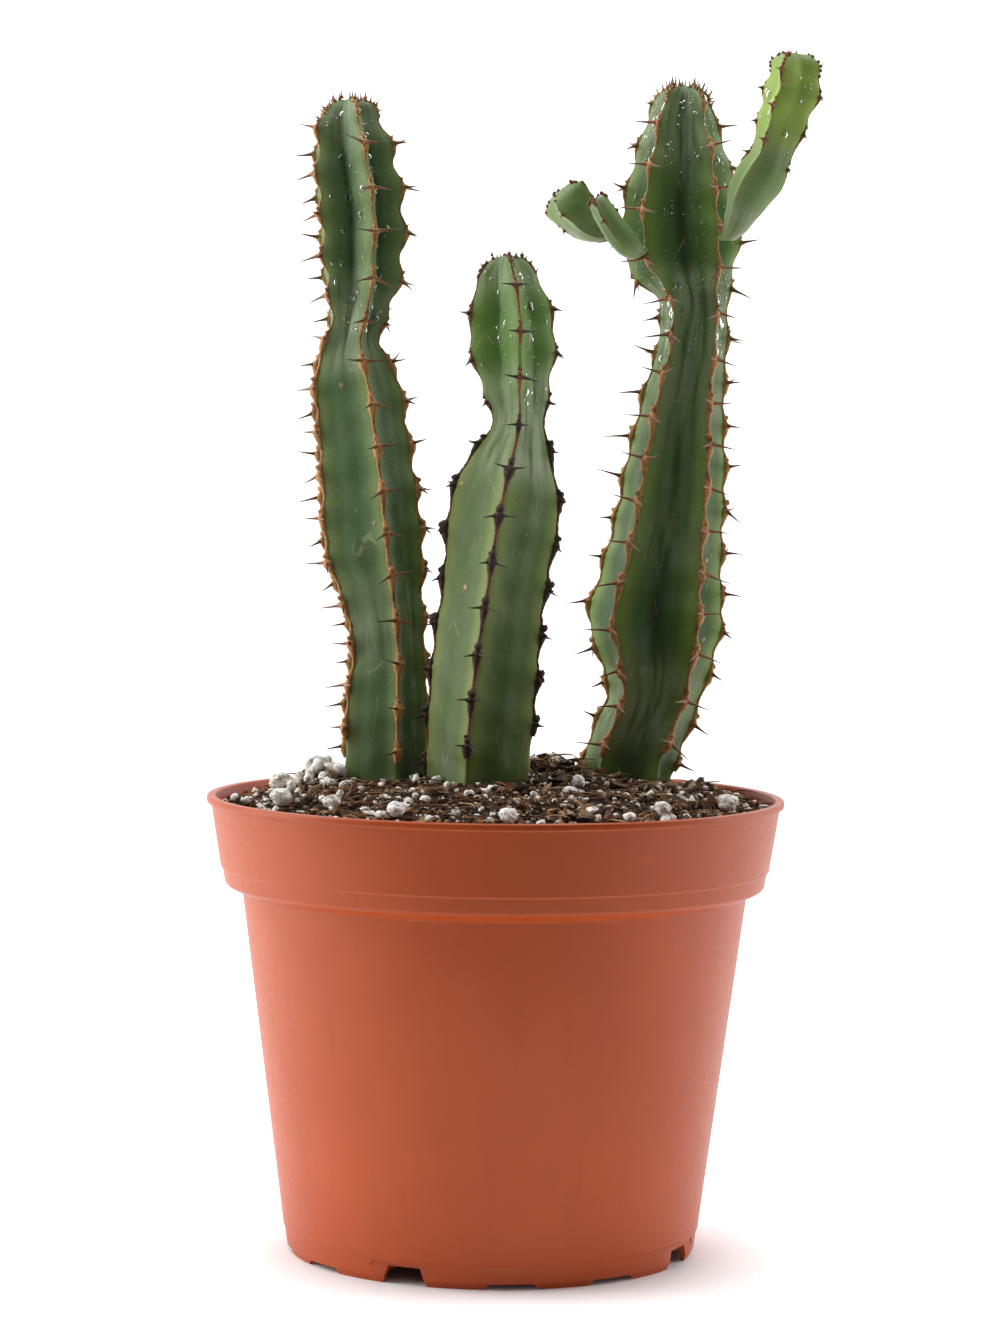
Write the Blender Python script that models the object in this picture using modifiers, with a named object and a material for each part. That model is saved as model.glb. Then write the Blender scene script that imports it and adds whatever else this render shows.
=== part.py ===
"""Potted euphorbia: three ribbed stems and three side branches in a moulded plastic nursery pot.

Metres, +Z up. The origin is on the pot's axis, in the plane that its feet stand on. +X is to the
right and -Y towards the viewer when the plant is seen from its front.
"""

import math
from collections import namedtuple

import bmesh
import bpy
import numpy as np
from mathutils import Matrix, Vector

MM = 0.001
CLEARANCE = 0.0003  # gap kept between pieces that touch

# Pot: an injection-moulded shell with a stepped collar, a foot ring and drain slots.
RIM_DIAMETER = 0.150
POT_HEIGHT = 0.1185
BASE_DIAMETER = 0.1084
WALL = 0.0012
LIP_OVERHANG = 0.0011
LIP_HEIGHT = 0.0018
LIP_ROUND = 0.0004
COLLAR_STEP_DROP = 0.0182  # rim down to the small step in the collar
COLLAR_STEP = 0.0005
COLLAR_DROP = 0.0228  # rim down to the collar's lower corner
COLLAR_DRAFT = 0.158  # how much the radius shrinks per unit of height
COLLAR_ROUND = 0.0018
LEDGE = 0.0045  # from the collar's lower corner in to the body
LEDGE_FALL = 0.0022
BAND_HEIGHT = 0.0063
BAND_STEP = 0.0003
BAND_TAPER = 0.0007
FOOT_HEIGHT = 0.0014
FOOT_SET_BACK = 0.0005
FLOOR_UNDERSIDE = 0.0030
BOSS_RADIUS = 0.0105  # centre dimple of the floor, which stands on the ground
BOSS_SLOPE = 0.0035
NOTCHES = 12
DEEP_EVERY = 3
NOTCH_WIDTH = 0.0112
NOTCH_FLARE = 0.0013  # how much wider each side of a notch is at the ground
DRAIN_WIDTH = 0.0088
DRAIN_FLARE = 0.0017
DRAIN_HEIGHT = 0.0046
DRAIN_REACH = 0.0050  # how far a drain slot cuts in behind the foot ring
PANEL_WIDTH = 0.0170
PANEL_FLARE = 0.0030
PANEL_MARGIN = 0.0006  # left of the band above a sunk panel
FIRST_DRAIN_AZIMUTH = -24.0
POT_STEPS = 48

# Potting mix: fills the pot and mounds up around the stems.
MIX_BELOW_RIM = 0.0030
MOUND_HEIGHT = 0.0080  # from the edge of the mix up to its middle
MOUND_SHAPE = ((0.0, 1.0), (0.25, 0.97), (0.45, 0.87), (0.62, 0.70), (0.78, 0.42), (0.90, 0.16), (1.0, 0.0))
SOCKET_GROWTH = 0.00045

# Horny margins: a strip on each rib's crest that carries the paired spines.
MARGIN_HALF_WIDTH = 0.0009
MARGIN_HEIGHT = 0.0010
AREOLE_LENGTH = 0.0016
SPINE_SPREAD = 0.90
SPINE_OUTWARD = 0.42
SPINE_DROOP = 0.10
SPINE_LIMIT = 0.42  # longest spine as a share of the rib radius beside it
STUB = 0.0008
NEIGHBOUR_GAP = 0.0050
MARGIN_ABOVE_MIX = 0.0030
SEAT_GAP = 0.0007  # from a margin's outer edge to the base of a branch on it

# Perlite: the largest grains, (share of the mix's radius, azimuth, grain size in mm).
PERLITE = ((0.848, -63, 5.4), (0.793, -46, 4.4), (0.834, -24, 4.8), (0.862, 3, 5.0), (0.821, 24, 4.2),
           (0.834, 44, 4.6), (0.876, 70, 5.2), (0.779, -92, 6.2), (0.807, 150, 5.0), (0.834, -150, 4.6))

Shoot = namedtuple("Shoot", "name foot seat rows ribs phases spacing notch spine")

# Each row of a stem: height above the mix, lean to the right, lean to the back, rib radius (mm),
# valley radius as a share of it, and twist in degrees.
LEFT_ROWS = (
    (-26, 1.0, 0.0, 7.0, 0.90, 0), (-8, 0.4, 0.0, 10.2, 0.84, 0), (0, 0.2, 0.0, 10.9, 0.82, 0),
    (18, 0.2, 0.0, 11.2, 0.80, 0), (34, 0.5, 0.0, 10.0, 0.80, 0), (46, -0.9, 0.0, 10.8, 0.78, 0),
    (59, -3.4, 0.2, 13.2, 0.75, 0), (78, -5.4, 0.4, 12.8, 0.74, 0), (90, -6.8, 0.6, 12.2, 0.74, 0),
    (103, -8.6, 0.6, 11.4, 0.74, 0), (110, -9.5, 0.8, 9.0, 0.72, 0), (116, -8.9, 1.0, 7.0, 0.62, 0),
    (124, -7.5, 1.2, 8.8, 0.54, 0), (133, -7.3, 1.4, 10.8, 0.50, 0), (145, -7.4, 1.6, 11.5, 0.48, 0),
    (157, -9.0, 1.8, 11.2, 0.48, 0), (166, -10.2, 2.0, 9.6, 0.50, 0), (172, -10.9, 2.2, 6.8, 0.56, 0),
    (175, -10.8, 2.4, 3.0, 0.70, 0),
)
MIDDLE_ROWS = (
    (-26, -1.0, 0.0, 8.0, 0.90, -12), (-8, -0.4, 0.0, 12.4, 0.80, -12), (0, 0.0, 0.0, 13.3, 0.76, -12),
    (16, 0.8, 0.0, 13.9, 0.74, -11), (34, 2.2, 0.0, 13.7, 0.73, -9), (47, 3.6, 0.0, 13.3, 0.73, -7),
    (59, 5.1, 0.2, 13.8, 0.72, -6), (68, 6.2, 0.4, 14.2, 0.72, -5), (78, 7.5, 0.5, 12.3, 0.74, -2),
    (84, 8.4, 0.6, 9.8, 0.76, 0), (90, 9.6, 0.8, 7.2, 0.78, 0), (94, 9.7, 1.0, 6.8, 0.70, 2),
    (101, 9.0, 1.2, 8.8, 0.58, 5), (108, 8.4, 1.4, 10.4, 0.52, 8), (114, 7.8, 1.6, 11.4, 0.50, 10),
    (121, 7.4, 1.8, 10.4, 0.50, 12), (127, 6.6, 2.0, 8.6, 0.54, 12), (131, 6.2, 2.2, 6.0, 0.62, 12),
    (134, 6.2, 2.2, 2.4, 0.72, 12),
)
RIGHT_ROWS = (
    (-26, -1.0, 0.0, 8.0, 0.88, 0), (-8, -0.8, 0.0, 11.2, 0.76, 0), (0, -0.8, 0.0, 12.4, 0.72, 0),
    (8, 1.2, 0.0, 12.4, 0.70, 0), (21, 5.9, 0.0, 12.6, 0.68, 0), (33, 6.7, 0.0, 15.9, 0.64, 0),
    (43, 6.4, 0.0, 18.4, 0.62, 0), (52, 7.6, 0.0, 16.8, 0.62, 0), (64, 9.2, -0.2, 15.2, 0.64, 0),
    (84, 11.4, -0.4, 13.4, 0.66, 0), (100, 12.9, -0.6, 11.2, 0.70, 0), (118, 15.4, -0.8, 9.4, 0.72, 0),
    (129, 15.2, -1.0, 10.0, 0.66, 0), (138, 12.4, -1.2, 15.0, 0.56, 0), (147, 11.4, -1.4, 16.0, 0.54, 0),
    (157, 11.2, -1.6, 14.4, 0.54, 0), (167, 11.6, -1.8, 12.0, 0.56, 0), (174, 11.4, -2.0, 9.6, 0.58, 0),
    (180, 11.8, -2.2, 5.6, 0.64, 0), (183, 12.0, -2.2, 2.4, 0.74, 0),
)

# A branch's rows hold the same values, with the heights and leans measured from its seat.
TALL_BRANCH_ROWS = (
    (0.2, 1.0, -0.8, 2.0, 0.94, 0), (2.2, 2.2, -2.6, 3.2, 0.92, 0), (5.5, 3.6, -4.4, 4.4, 0.88, 0),
    (10.5, 5.6, -6.2, 6.0, 0.84, 0), (16.5, 9.0, -7.4, 6.7, 0.80, 0), (20.5, 11.0, -7.8, 5.6, 0.76, 0),
    (25.0, 12.6, -8.0, 6.0, 0.70, 0), (31.0, 14.4, -8.2, 6.8, 0.66, 0), (37.5, 16.4, -8.2, 7.2, 0.62, 0),
    (43.5, 17.2, -8.0, 5.4, 0.66, 0),
    (47.0, 16.6, -7.8, 2.4, 0.74, 0),
)
BACK_BRANCH_ROWS = (
    (0.2, -0.9, 0.0, 1.8, 0.94, 0), (0.9, -3.9, -0.2, 3.4, 0.90, 0), (2.8, -6.8, -0.4, 4.9, 0.84, 0),
    (5.6, -9.2, -0.6, 6.0, 0.78, 0), (8.4, -11.8, -0.8, 6.8, 0.72, 0), (10.4, -13.4, -0.8, 5.8, 0.74, 0),
    (11.6, -14.4, -0.9, 3.0, 0.80, 0),
)
FRONT_BRANCH_ROWS = (
    (0.2, -0.8, -0.6, 2.2, 0.94, 0), (1.6, -2.6, -1.6, 3.2, 0.92, 0), (4.4, -5.4, -2.8, 3.7, 0.88, 0),
    (7.8, -8.0, -3.6, 3.5, 0.82, 0), (11.0, -10.2, -4.2, 3.3, 0.78, 0), (13.2, -11.4, -4.6, 2.8, 0.76, 0),
    (14.2, -12.0, -4.8, 1.6, 0.82, 0),
)

# Azimuths are in degrees from the front (-Y), positive to the right. A stem has a foot, where it
# enters the mix, in shares of the mix's radius. A branch has a seat: its parent, the parent's rib,
# and the height on it in mm.
SHOOTS = (
    Shoot("stem_left", (-0.4117, 0.0834), None, LEFT_ROWS, (20, -60, -115, 88, 160),
          (0.0, 0.5, 0.0, 0.0, 0.5), 0.0112, 0.0016, 0.0056),
    Shoot("stem_middle", (-0.0695, -0.1043), None, MIDDLE_ROWS, (0, -88, 92, 180), (0.0, 0.5, 0.5, 0.0),
          0.0118, 0.0009, 0.0046),
    Shoot("stem_right", (0.4937, 0.3755), None, RIGHT_ROWS, (-40, 37, -106, 100, 178),
          (0.0, 0.5, 0.5, 0.0, 0.5), 0.0112, 0.0015, 0.0066),
    Shoot("branch_tall", None, ("stem_right", 1, 142), TALL_BRANCH_ROWS, (-30, 78, 165, -112),
          (0.0, 0.5, 0.0, 0.5), 0.0092, 0.0014, 0.0030),
    Shoot("branch_back", None, ("stem_right", 2, 146), BACK_BRANCH_ROWS, (-30, 70, 180, -110),
          (0.0, 0.5, 0.0, 0.5), 0.0064, 0.0008, 0.0022),
    Shoot("branch_front", None, ("stem_right", 0, 141), FRONT_BRANCH_ROWS, (-20, -125, 110),
          (0.0, 0.5, 0.0), 0.0064, 0.0006, 0.0022),
)

PARTS = None  # collection of the pieces
CUTTERS = None  # collection of the Boolean cutters


# ---------------------------------------------------------------- scene and materials

def clear_scene():
    for obj in list(bpy.data.objects):
        bpy.data.objects.remove(obj)


def new_collection(name):
    made = bpy.data.collections.new(name)
    bpy.context.scene.collection.children.link(made)
    return made


def material(name, colour, roughness):
    made = bpy.data.materials.new(name)
    made.use_nodes = True
    shader = made.node_tree.nodes["Principled BSDF"]
    shader.inputs["Base Color"].default_value = (*colour, 1.0)
    shader.inputs["Roughness"].default_value = roughness
    return made


def add_object(name, bm, look=None):
    """The bmesh as a new object: a piece with its material, or a cutter if it has none."""
    mesh = bpy.data.meshes.new(name)
    bm.to_mesh(mesh)
    bm.free()
    obj = bpy.data.objects.new(name, mesh)
    if look is None:
        obj.hide_render = True
        obj.display_type = "WIRE"
        CUTTERS.objects.link(obj)
    else:
        mesh.materials.append(look)
        PARTS.objects.link(obj)
    return obj


def turned(name, profile, look, steps):
    """A solid of revolution about Z. The profile starts and ends on the axis, outer side downwards."""
    bm = bmesh.new()
    points = [bm.verts.new((r, 0.0, z)) for r, z in profile]
    for a, b in zip(points, points[1:]):
        bm.edges.new((a, b))
    obj = add_object(name, bm, look)
    screw = obj.modifiers.new("Turn", "SCREW")
    screw.steps = screw.render_steps = steps
    screw.use_merge_vertices = True
    screw.merge_threshold = 0.00001
    screw.use_smooth_shade = False
    return obj


def cut(obj, cutter):
    boolean = obj.modifiers.new("Cut " + cutter.name, "BOOLEAN")
    boolean.operation = "DIFFERENCE"
    boolean.object = cutter


# ---------------------------------------------------------------- pot

def collar_radius(drop):
    """Outer radius of the collar at a drop below the rim, above its small step."""
    return RIM_DIAMETER / 2 - LIP_OVERHANG - COLLAR_DRAFT * (drop - LIP_HEIGHT)


def body_top():
    """Radius and height of the body just under the collar's ledge."""
    radius = collar_radius(COLLAR_DROP) - COLLAR_STEP - LEDGE
    return radius, POT_HEIGHT - COLLAR_DROP - LEDGE_FALL


def foot_radius():
    return BASE_DIAMETER / 2 - BAND_STEP - BAND_TAPER - FOOT_SET_BACK


def inner_wall():
    """Points up the pot's inner wall, from the floor's edge to the rim."""
    body_radius, body_z = body_top()
    lower_corner = collar_radius(COLLAR_DROP) - COLLAR_STEP - WALL
    return [
        (foot_radius() - WALL, FLOOR_UNDERSIDE + WALL),
        (BASE_DIAMETER / 2 - WALL, BAND_HEIGHT + WALL),
        (body_radius - WALL, body_z + WALL / 2),
        (lower_corner - COLLAR_ROUND, POT_HEIGHT - COLLAR_DROP + WALL - LEDGE_FALL / 3),
        (lower_corner, POT_HEIGHT - COLLAR_DROP + WALL + COLLAR_ROUND),
        (collar_radius(LIP_HEIGHT) - WALL, POT_HEIGHT - LIP_ROUND),
    ]


def floor_top():
    """Points along the floor's upper side, from the axis to the foot of the wall."""
    return [
        (0.0, WALL),
        (BOSS_RADIUS - WALL / 2, WALL),
        (BOSS_RADIUS + BOSS_SLOPE - WALL / 2, FLOOR_UNDERSIDE + WALL),
    ]


def pot_profile():
    rim = RIM_DIAMETER / 2
    wall_top = collar_radius(LIP_HEIGHT) - WALL
    step_z = POT_HEIGHT - COLLAR_STEP_DROP
    corner_z = POT_HEIGHT - COLLAR_DROP
    corner = collar_radius(COLLAR_DROP) - COLLAR_STEP
    body_radius, body_z = body_top()
    band = BASE_DIAMETER / 2 - BAND_STEP
    lip = [
        (wall_top + LIP_ROUND, POT_HEIGHT),
        (rim - 1.6 * LIP_ROUND, POT_HEIGHT),
        (rim, POT_HEIGHT - 1.4 * LIP_ROUND),
        (rim, POT_HEIGHT - LIP_HEIGHT + LIP_ROUND),
        (rim - LIP_ROUND, POT_HEIGHT - LIP_HEIGHT),
        (collar_radius(LIP_HEIGHT), POT_HEIGHT - LIP_HEIGHT - LIP_ROUND),
    ]
    collar = [
        (collar_radius(COLLAR_STEP_DROP), step_z),
        (collar_radius(COLLAR_STEP_DROP) - COLLAR_STEP, step_z - COLLAR_STEP),
        (corner, corner_z + COLLAR_ROUND),
        (corner - 0.3 * COLLAR_ROUND, corner_z + 0.3 * COLLAR_ROUND),
        (corner - COLLAR_ROUND, corner_z - LEDGE_FALL / 3),
        (body_radius, body_z),
    ]
    foot = [
        (BASE_DIAMETER / 2, BAND_HEIGHT + BAND_STEP),
        (band, BAND_HEIGHT),
        (band - BAND_TAPER, FOOT_HEIGHT),
        (foot_radius(), FOOT_HEIGHT),
        (foot_radius() - BAND_STEP, 0.0),
        (foot_radius() - WALL, 0.0),
        (foot_radius() - WALL, FLOOR_UNDERSIDE),
        (BOSS_RADIUS + BOSS_SLOPE, FLOOR_UNDERSIDE),
        (BOSS_RADIUS, 0.0),
        (0.0, 0.0),
    ]
    return floor_top() + inner_wall() + lip + collar + foot


def wedge(bm, azimuth, near, far, low, high, bottom_width, top_width):
    """A block that points out along an azimuth, with its own width at the bottom and the top."""
    half = {low: bottom_width / 2, high: top_width / 2}
    made = bmesh.ops.create_cube(bm, size=2.0)["verts"]
    for vert in made:
        z = high if vert.co.z > 0 else low
        vert.co = Vector((math.copysign(half[z], vert.co.x), -(far if vert.co.y < 0 else near), z))
    bmesh.ops.rotate(bm, verts=made, matrix=Matrix.Rotation(math.radians(azimuth), 3, "Z"))


def cutter_width(width, flare, height):
    """Width at a cutter's underside, for a slot in the foot that flares out to the ground."""
    return width + 2 * flare * (1 + FOOT_HEIGHT / height)


def make_pot(look):
    pot = turned("pot", pot_profile(), look, POT_STEPS)
    under = -FOOT_HEIGHT
    outside = BASE_DIAMETER
    behind_foot = foot_radius() - WALL - DRAIN_REACH
    notches, drains, panels = bmesh.new(), bmesh.new(), bmesh.new()
    for i in range(NOTCHES):
        azimuth = FIRST_DRAIN_AZIMUTH + i * 360.0 / NOTCHES
        if i % DEEP_EVERY:
            wedge(notches, azimuth, behind_foot, outside, under, FOOT_HEIGHT,
                  cutter_width(NOTCH_WIDTH, NOTCH_FLARE, FOOT_HEIGHT), NOTCH_WIDTH)
            continue
        wedge(drains, azimuth, behind_foot, outside, under, DRAIN_HEIGHT,
              cutter_width(DRAIN_WIDTH, DRAIN_FLARE, DRAIN_HEIGHT), DRAIN_WIDTH)
        wedge(panels, azimuth, foot_radius(), outside, FOOT_HEIGHT - PANEL_MARGIN,
              BAND_HEIGHT - PANEL_MARGIN, PANEL_WIDTH + 2 * PANEL_FLARE, PANEL_WIDTH)
    for name, bm in (("notch_cutter", notches), ("panel_cutter", panels), ("drain_cutter", drains)):
        cut(pot, add_object(name, bm))
    return pot


# ---------------------------------------------------------------- potting mix

def mix_radius():
    """Radius of the mix where its top meets the pot's wall."""
    heights = [z for _, z in inner_wall()]
    radii = [r for r, _ in inner_wall()]
    return float(np.interp(POT_HEIGHT - MIX_BELOW_RIM, heights, radii)) - CLEARANCE


def mix_height(x, y):
    """Height of the mix's surface over a point."""
    share = math.hypot(x, y) / mix_radius()
    rise = np.interp(share, [s for s, _ in MOUND_SHAPE], [h for _, h in MOUND_SHAPE])
    return POT_HEIGHT - MIX_BELOW_RIM + MOUND_HEIGHT * float(rise)


def mix_profile():
    edge_z = POT_HEIGHT - MIX_BELOW_RIM
    mound = [(share * mix_radius(), edge_z + MOUND_HEIGHT * rise) for share, rise in MOUND_SHAPE]
    wall = [(r - CLEARANCE, z + CLEARANCE / 2) for r, z in reversed(inner_wall()) if z < edge_z]
    floor = [(max(r - CLEARANCE, 0.0), z + CLEARANCE) for r, z in reversed(floor_top())]
    return mound + wall + floor


# ---------------------------------------------------------------- stems and branches

def smooth(at, knots, values):
    """A smooth curve through the values, read at the given places."""
    at, knots, values = (np.asarray(v, float) for v in (at, knots, values))
    slopes = np.gradient(values, knots, axis=0)
    i = np.clip(np.searchsorted(knots, at, side="right") - 1, 0, len(knots) - 2)
    span = (knots[i + 1] - knots[i])[:, None]
    t = ((at - knots[i])[:, None]) / span
    start = (1 + 2 * t) * (1 - t) ** 2 * values[i] + t * (1 - t) ** 2 * span * slopes[i]
    end = t * t * (3 - 2 * t) * values[i + 1] - t * t * (1 - t) * span * slopes[i + 1]
    return start + end


class Skeleton:
    """A shoot's axis, rib radii and directions, worked out at evenly spaced rings."""

    def __init__(self, shoot, start):
        self.shoot = shoot
        rows = np.array(shoot.rows, float)
        centres = start + np.column_stack([rows[:, 1], rows[:, 2], rows[:, 0]]) * MM
        steps = np.linalg.norm(np.diff(centres, axis=0), axis=1)
        self.line = start[2]  # a stem's rows are measured from the mix, a branch's from its seat
        self.knots = np.concatenate([[0.0], np.cumsum(steps)])
        self.length = self.knots[-1]
        self.columns = np.column_stack([centres, rows[:, 3] * MM, rows[:, 4], rows[:, 5]])
        half = shoot.spacing / 2
        self.rings = np.append(np.arange(0.0, self.length - half / 2, half), self.length)

    def read(self, at):
        """Centre, rib radius, valley share and twist at the given lengths along the axis."""
        values = smooth(at, self.knots, self.columns)
        return values[:, :3], values[:, 3], values[:, 4], values[:, 5]

    def directions(self, at):
        """Unit vectors up the axis, to its front and to its right, at the given lengths."""
        reach = self.shoot.spacing
        ahead = self.read(np.minimum(np.asarray(at) + reach, self.length))[0]
        behind = self.read(np.maximum(np.asarray(at) - reach, 0.0))[0]
        up = ahead - behind
        up /= np.linalg.norm(up, axis=1)[:, None]
        front = np.array([0.0, -1.0, 0.0]) - up * (-up[:, 1])[:, None]
        front /= np.linalg.norm(front, axis=1)[:, None]
        return up, front, np.cross(up, front)

    def outward(self, at, azimuth):
        """Unit vector away from the axis at an azimuth, with the twist added."""
        _, front, right = self.directions(at)
        angle = np.radians(azimuth + self.read(at)[3])[:, None]
        return np.cos(angle) * front + np.sin(angle) * right

    def crest(self, at, rib):
        """Points on a rib's crest. It stands out at each areole and dips between them."""
        centre, radius, _, _ = self.read(at)
        wave = np.cos(2 * np.pi * (np.asarray(at) / self.shoot.spacing - self.shoot.phases[rib]))
        fade = np.clip(radius / (8 * MM), 0.0, 1.0)
        radius = radius + 0.5 * self.shoot.notch * wave * fade
        return centre + self.outward(at, self.shoot.ribs[rib]) * radius[:, None]

    def crest_on_rings(self, at, rib):
        """The same crest as the faceted stem has it: straight between its rings."""
        points = self.crest(self.rings, rib)
        return np.column_stack([np.interp(at, self.rings, points[:, i]) for i in range(3)])


def grow_skeletons():
    """A skeleton for each shoot: stems stand in the mix, and branches on a rib of their parent."""
    grown = {}
    for shoot in SHOOTS:
        if shoot.foot:
            x, y = (v * mix_radius() for v in shoot.foot)
            start = np.array([x, y, mix_height(x, y)])
        else:
            parent, rib, height = shoot.seat
            start = rib_seat(grown[parent], rib, height * MM)
        grown[shoot.name] = Skeleton(shoot, start)
    return list(grown.values())


def rib_seat(skeleton, rib, height):
    """The point just outside a rib's margin at a height above the mix."""
    at = np.interp(skeleton.line + height, skeleton.columns[:, 2], skeleton.knots)
    out = skeleton.outward([at], skeleton.shoot.ribs[rib])[0]
    return skeleton.crest([at], rib)[0] + out * (MARGIN_HEIGHT + CLEARANCE + SEAT_GAP)


def section_rings(skeleton, growth=0.0, top=None):
    """The shoot's star-shaped sections: for each rib a crest, a flank, a valley and a flank."""
    shoot = skeleton.shoot
    at = skeleton.rings if top is None else skeleton.rings[skeleton.rings <= top]
    centre, radius, valley, _ = skeleton.read(at)
    order = sorted(range(len(shoot.ribs)), key=lambda i: shoot.ribs[i])
    columns = []
    for place, rib in enumerate(order):
        following = order[(place + 1) % len(order)]
        gap = (shoot.ribs[following] - shoot.ribs[rib]) % 360
        crest = skeleton.crest(at, rib)
        next_crest = skeleton.crest(at, following)
        hollow_way = skeleton.outward(at, shoot.ribs[rib] + gap / 2)
        hollow = centre + hollow_way * (radius * valley)[:, None]
        columns += [crest, flank(crest, hollow, centre), hollow, flank(next_crest, hollow, centre)]
    rings = np.stack(columns, axis=1)
    away = rings - centre[:, None, :]
    return rings + growth * away / np.linalg.norm(away, axis=2)[:, :, None]


def flank(crest, hollow, centre):
    """A point on the side of a rib, pulled a little towards the axis."""
    middle = 0.45 * crest + 0.55 * hollow
    return centre + 0.97 * (middle - centre)


def loft(bm, rings):
    """Skins rings of equal size and closes both ends. Returns the rings' vertices and side faces."""
    verts = [[bm.verts.new(p) for p in ring] for ring in rings]
    count = len(verts[0])
    sides = []
    for low, high in zip(verts, verts[1:]):
        for i in range(count):
            j = (i + 1) % count
            sides.append(bm.faces.new((low[i], low[j], high[j], high[i])))
    for ring in (verts[0], verts[-1]):
        hub = bm.verts.new(sum((v.co for v in ring), Vector()) / count)
        for i in range(count):
            bm.faces.new((ring[i], ring[(i + 1) % count], hub))
    bmesh.ops.recalc_face_normals(bm, faces=bm.faces)
    return sides


def make_shoot(skeleton, look):
    bm = bmesh.new()
    loft(bm, section_rings(skeleton))
    return add_object(skeleton.shoot.name, bm, look)


def make_socket(skeleton):
    """The cutter that leaves room for a stem in the potting mix."""
    above = skeleton.shoot.spacing + skeleton.line - skeleton.columns[0, 2]
    bm = bmesh.new()
    loft(bm, section_rings(skeleton, growth=SOCKET_GROWTH, top=above))
    return add_object(skeleton.shoot.name + "_socket", bm)


# ---------------------------------------------------------------- horny margins and spines

def blocked(tip, skeleton, others):
    """True if a spine's tip would reach another shoot."""
    for other in others:
        if other is skeleton:
            continue
        at = np.linspace(0.0, other.length, 60)
        centre, radius, _, _ = other.read(at)
        if (np.linalg.norm(centre - np.array(tip), axis=1) < radius + NEIGHBOUR_GAP).any():
            return True
    return False


def areoles(skeleton, rib):
    """Lengths along the axis where a rib's spine pairs sit, above the mix and below the tip."""
    shoot = skeleton.shoot
    count = int(skeleton.length / shoot.spacing) + 1
    places = (np.arange(count) + shoot.phases[rib]) * shoot.spacing
    crest = skeleton.crest(places, rib)
    clear = [p[2] > mix_height(p[0], p[1]) + MARGIN_ABOVE_MIX for p in crest]
    first = shoot.spacing / 2 if shoot.seat else 0.0
    return [a for a, c in zip(places, clear) if c and first < a < skeleton.length - MARGIN_HEIGHT]


def make_margin(skeleton, rib, others, look):
    """One rib's horny strip as a three-sided prism, its areole faces drawn out into spines."""
    shoot = skeleton.shoot
    places = areoles(skeleton, rib)
    stations = []
    for a in places:
        stations += [a - AREOLE_LENGTH, a, a + shoot.spacing / 2]
    stations = np.array(stations[:-1])
    crest = skeleton.crest_on_rings(stations, rib)
    out = skeleton.outward(stations, shoot.ribs[rib])
    up = skeleton.directions(stations)[0]
    side = np.cross(up, out)
    base = crest + out * CLEARANCE
    rings = np.stack([base - side * MARGIN_HALF_WIDTH, base + side * MARGIN_HALF_WIDTH,
                      base + out * MARGIN_HEIGHT], axis=1)
    bm = bmesh.new()
    sides = loft(bm, rings)
    radius = skeleton.read(stations)[1]
    for i in range(0, len(stations) - 1, 3):
        length = min(shoot.spine, SPINE_LIMIT * radius[i])
        for face, sign in ((sides[3 * i + 1], 1.0), (sides[3 * i + 2], -1.0)):
            way = SPINE_SPREAD * sign * side[i] + SPINE_OUTWARD * out[i] - SPINE_DROOP * up[i]
            middle = face.calc_center_median()
            tip = middle + Vector(way * length)
            if blocked(tip, skeleton, others):
                tip = middle + Vector(way * STUB)
            point = bmesh.ops.poke(bm, faces=[face])["verts"][0]
            point.co = tip
    return add_object(f"{shoot.name}_margin_{rib + 1}", bm, look)


# ---------------------------------------------------------------- perlite

def make_perlite(number, share, azimuth, size, look):
    """One grain of expanded perlite, an uneven lump lying on the mix."""
    angle = math.radians(azimuth)
    radius = share * mix_radius()
    x, y = radius * math.sin(angle), -radius * math.cos(angle)
    bm = bmesh.new()
    lump = bmesh.ops.create_icosphere(bm, subdivisions=2, radius=size * MM / 2)["verts"]
    for vert in lump:
        way = vert.co.normalized()
        swell = 0.10 * math.sin(7 * way.x + number) + 0.08 * math.cos(6 * way.y - 2 * number)
        vert.co *= 1.0 + swell
        vert.co.z *= 0.8
    lowest = min(v.co.z for v in lump)
    ground = max(mix_height(x + v.co.x, y + v.co.y) for v in lump)
    bmesh.ops.translate(bm, verts=lump, vec=(x, y, ground + CLEARANCE - lowest))
    return add_object(f"perlite_grain_{number}", bm, look)


# ---------------------------------------------------------------- the whole plant

def main():
    global PARTS, CUTTERS
    clear_scene()
    PARTS = new_collection("potted_euphorbia")
    CUTTERS = new_collection("cutters")
    plastic = material("terracotta_plastic", (0.42, 0.10, 0.040), 0.45)
    peat = material("potting_mix", (0.045, 0.026, 0.016), 0.95)
    skin = material("stem_skin", (0.060, 0.130, 0.050), 0.40)
    young_skin = material("young_skin", (0.150, 0.270, 0.080), 0.40)
    horn = material("horny_margin", (0.260, 0.110, 0.045), 0.60)
    old_horn = material("old_horny_margin", (0.050, 0.028, 0.020), 0.70)
    glass_foam = material("perlite", (0.800, 0.780, 0.730), 0.90)

    make_pot(plastic)
    mix = turned("potting_mix", mix_profile(), peat, POT_STEPS)
    skeletons = grow_skeletons()
    for skeleton in skeletons:
        make_shoot(skeleton, skin if skeleton.shoot.foot else young_skin)
        if skeleton.shoot.foot:
            cut(mix, make_socket(skeleton))
        strip_look = old_horn if skeleton.shoot.name == "stem_middle" else horn
        for rib in range(len(skeleton.shoot.ribs)):
            make_margin(skeleton, rib, skeletons, strip_look)
    for number, (share, azimuth, size) in enumerate(PERLITE, start=1):
        make_perlite(number, share, azimuth, size, glass_foam)


main()
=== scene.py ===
"""A potted euphorbia with three ribbed stems, as it stands in a studio."""

import math
from collections import namedtuple

import bmesh
import bpy
import numpy as np
from mathutils import Matrix, Vector


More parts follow.
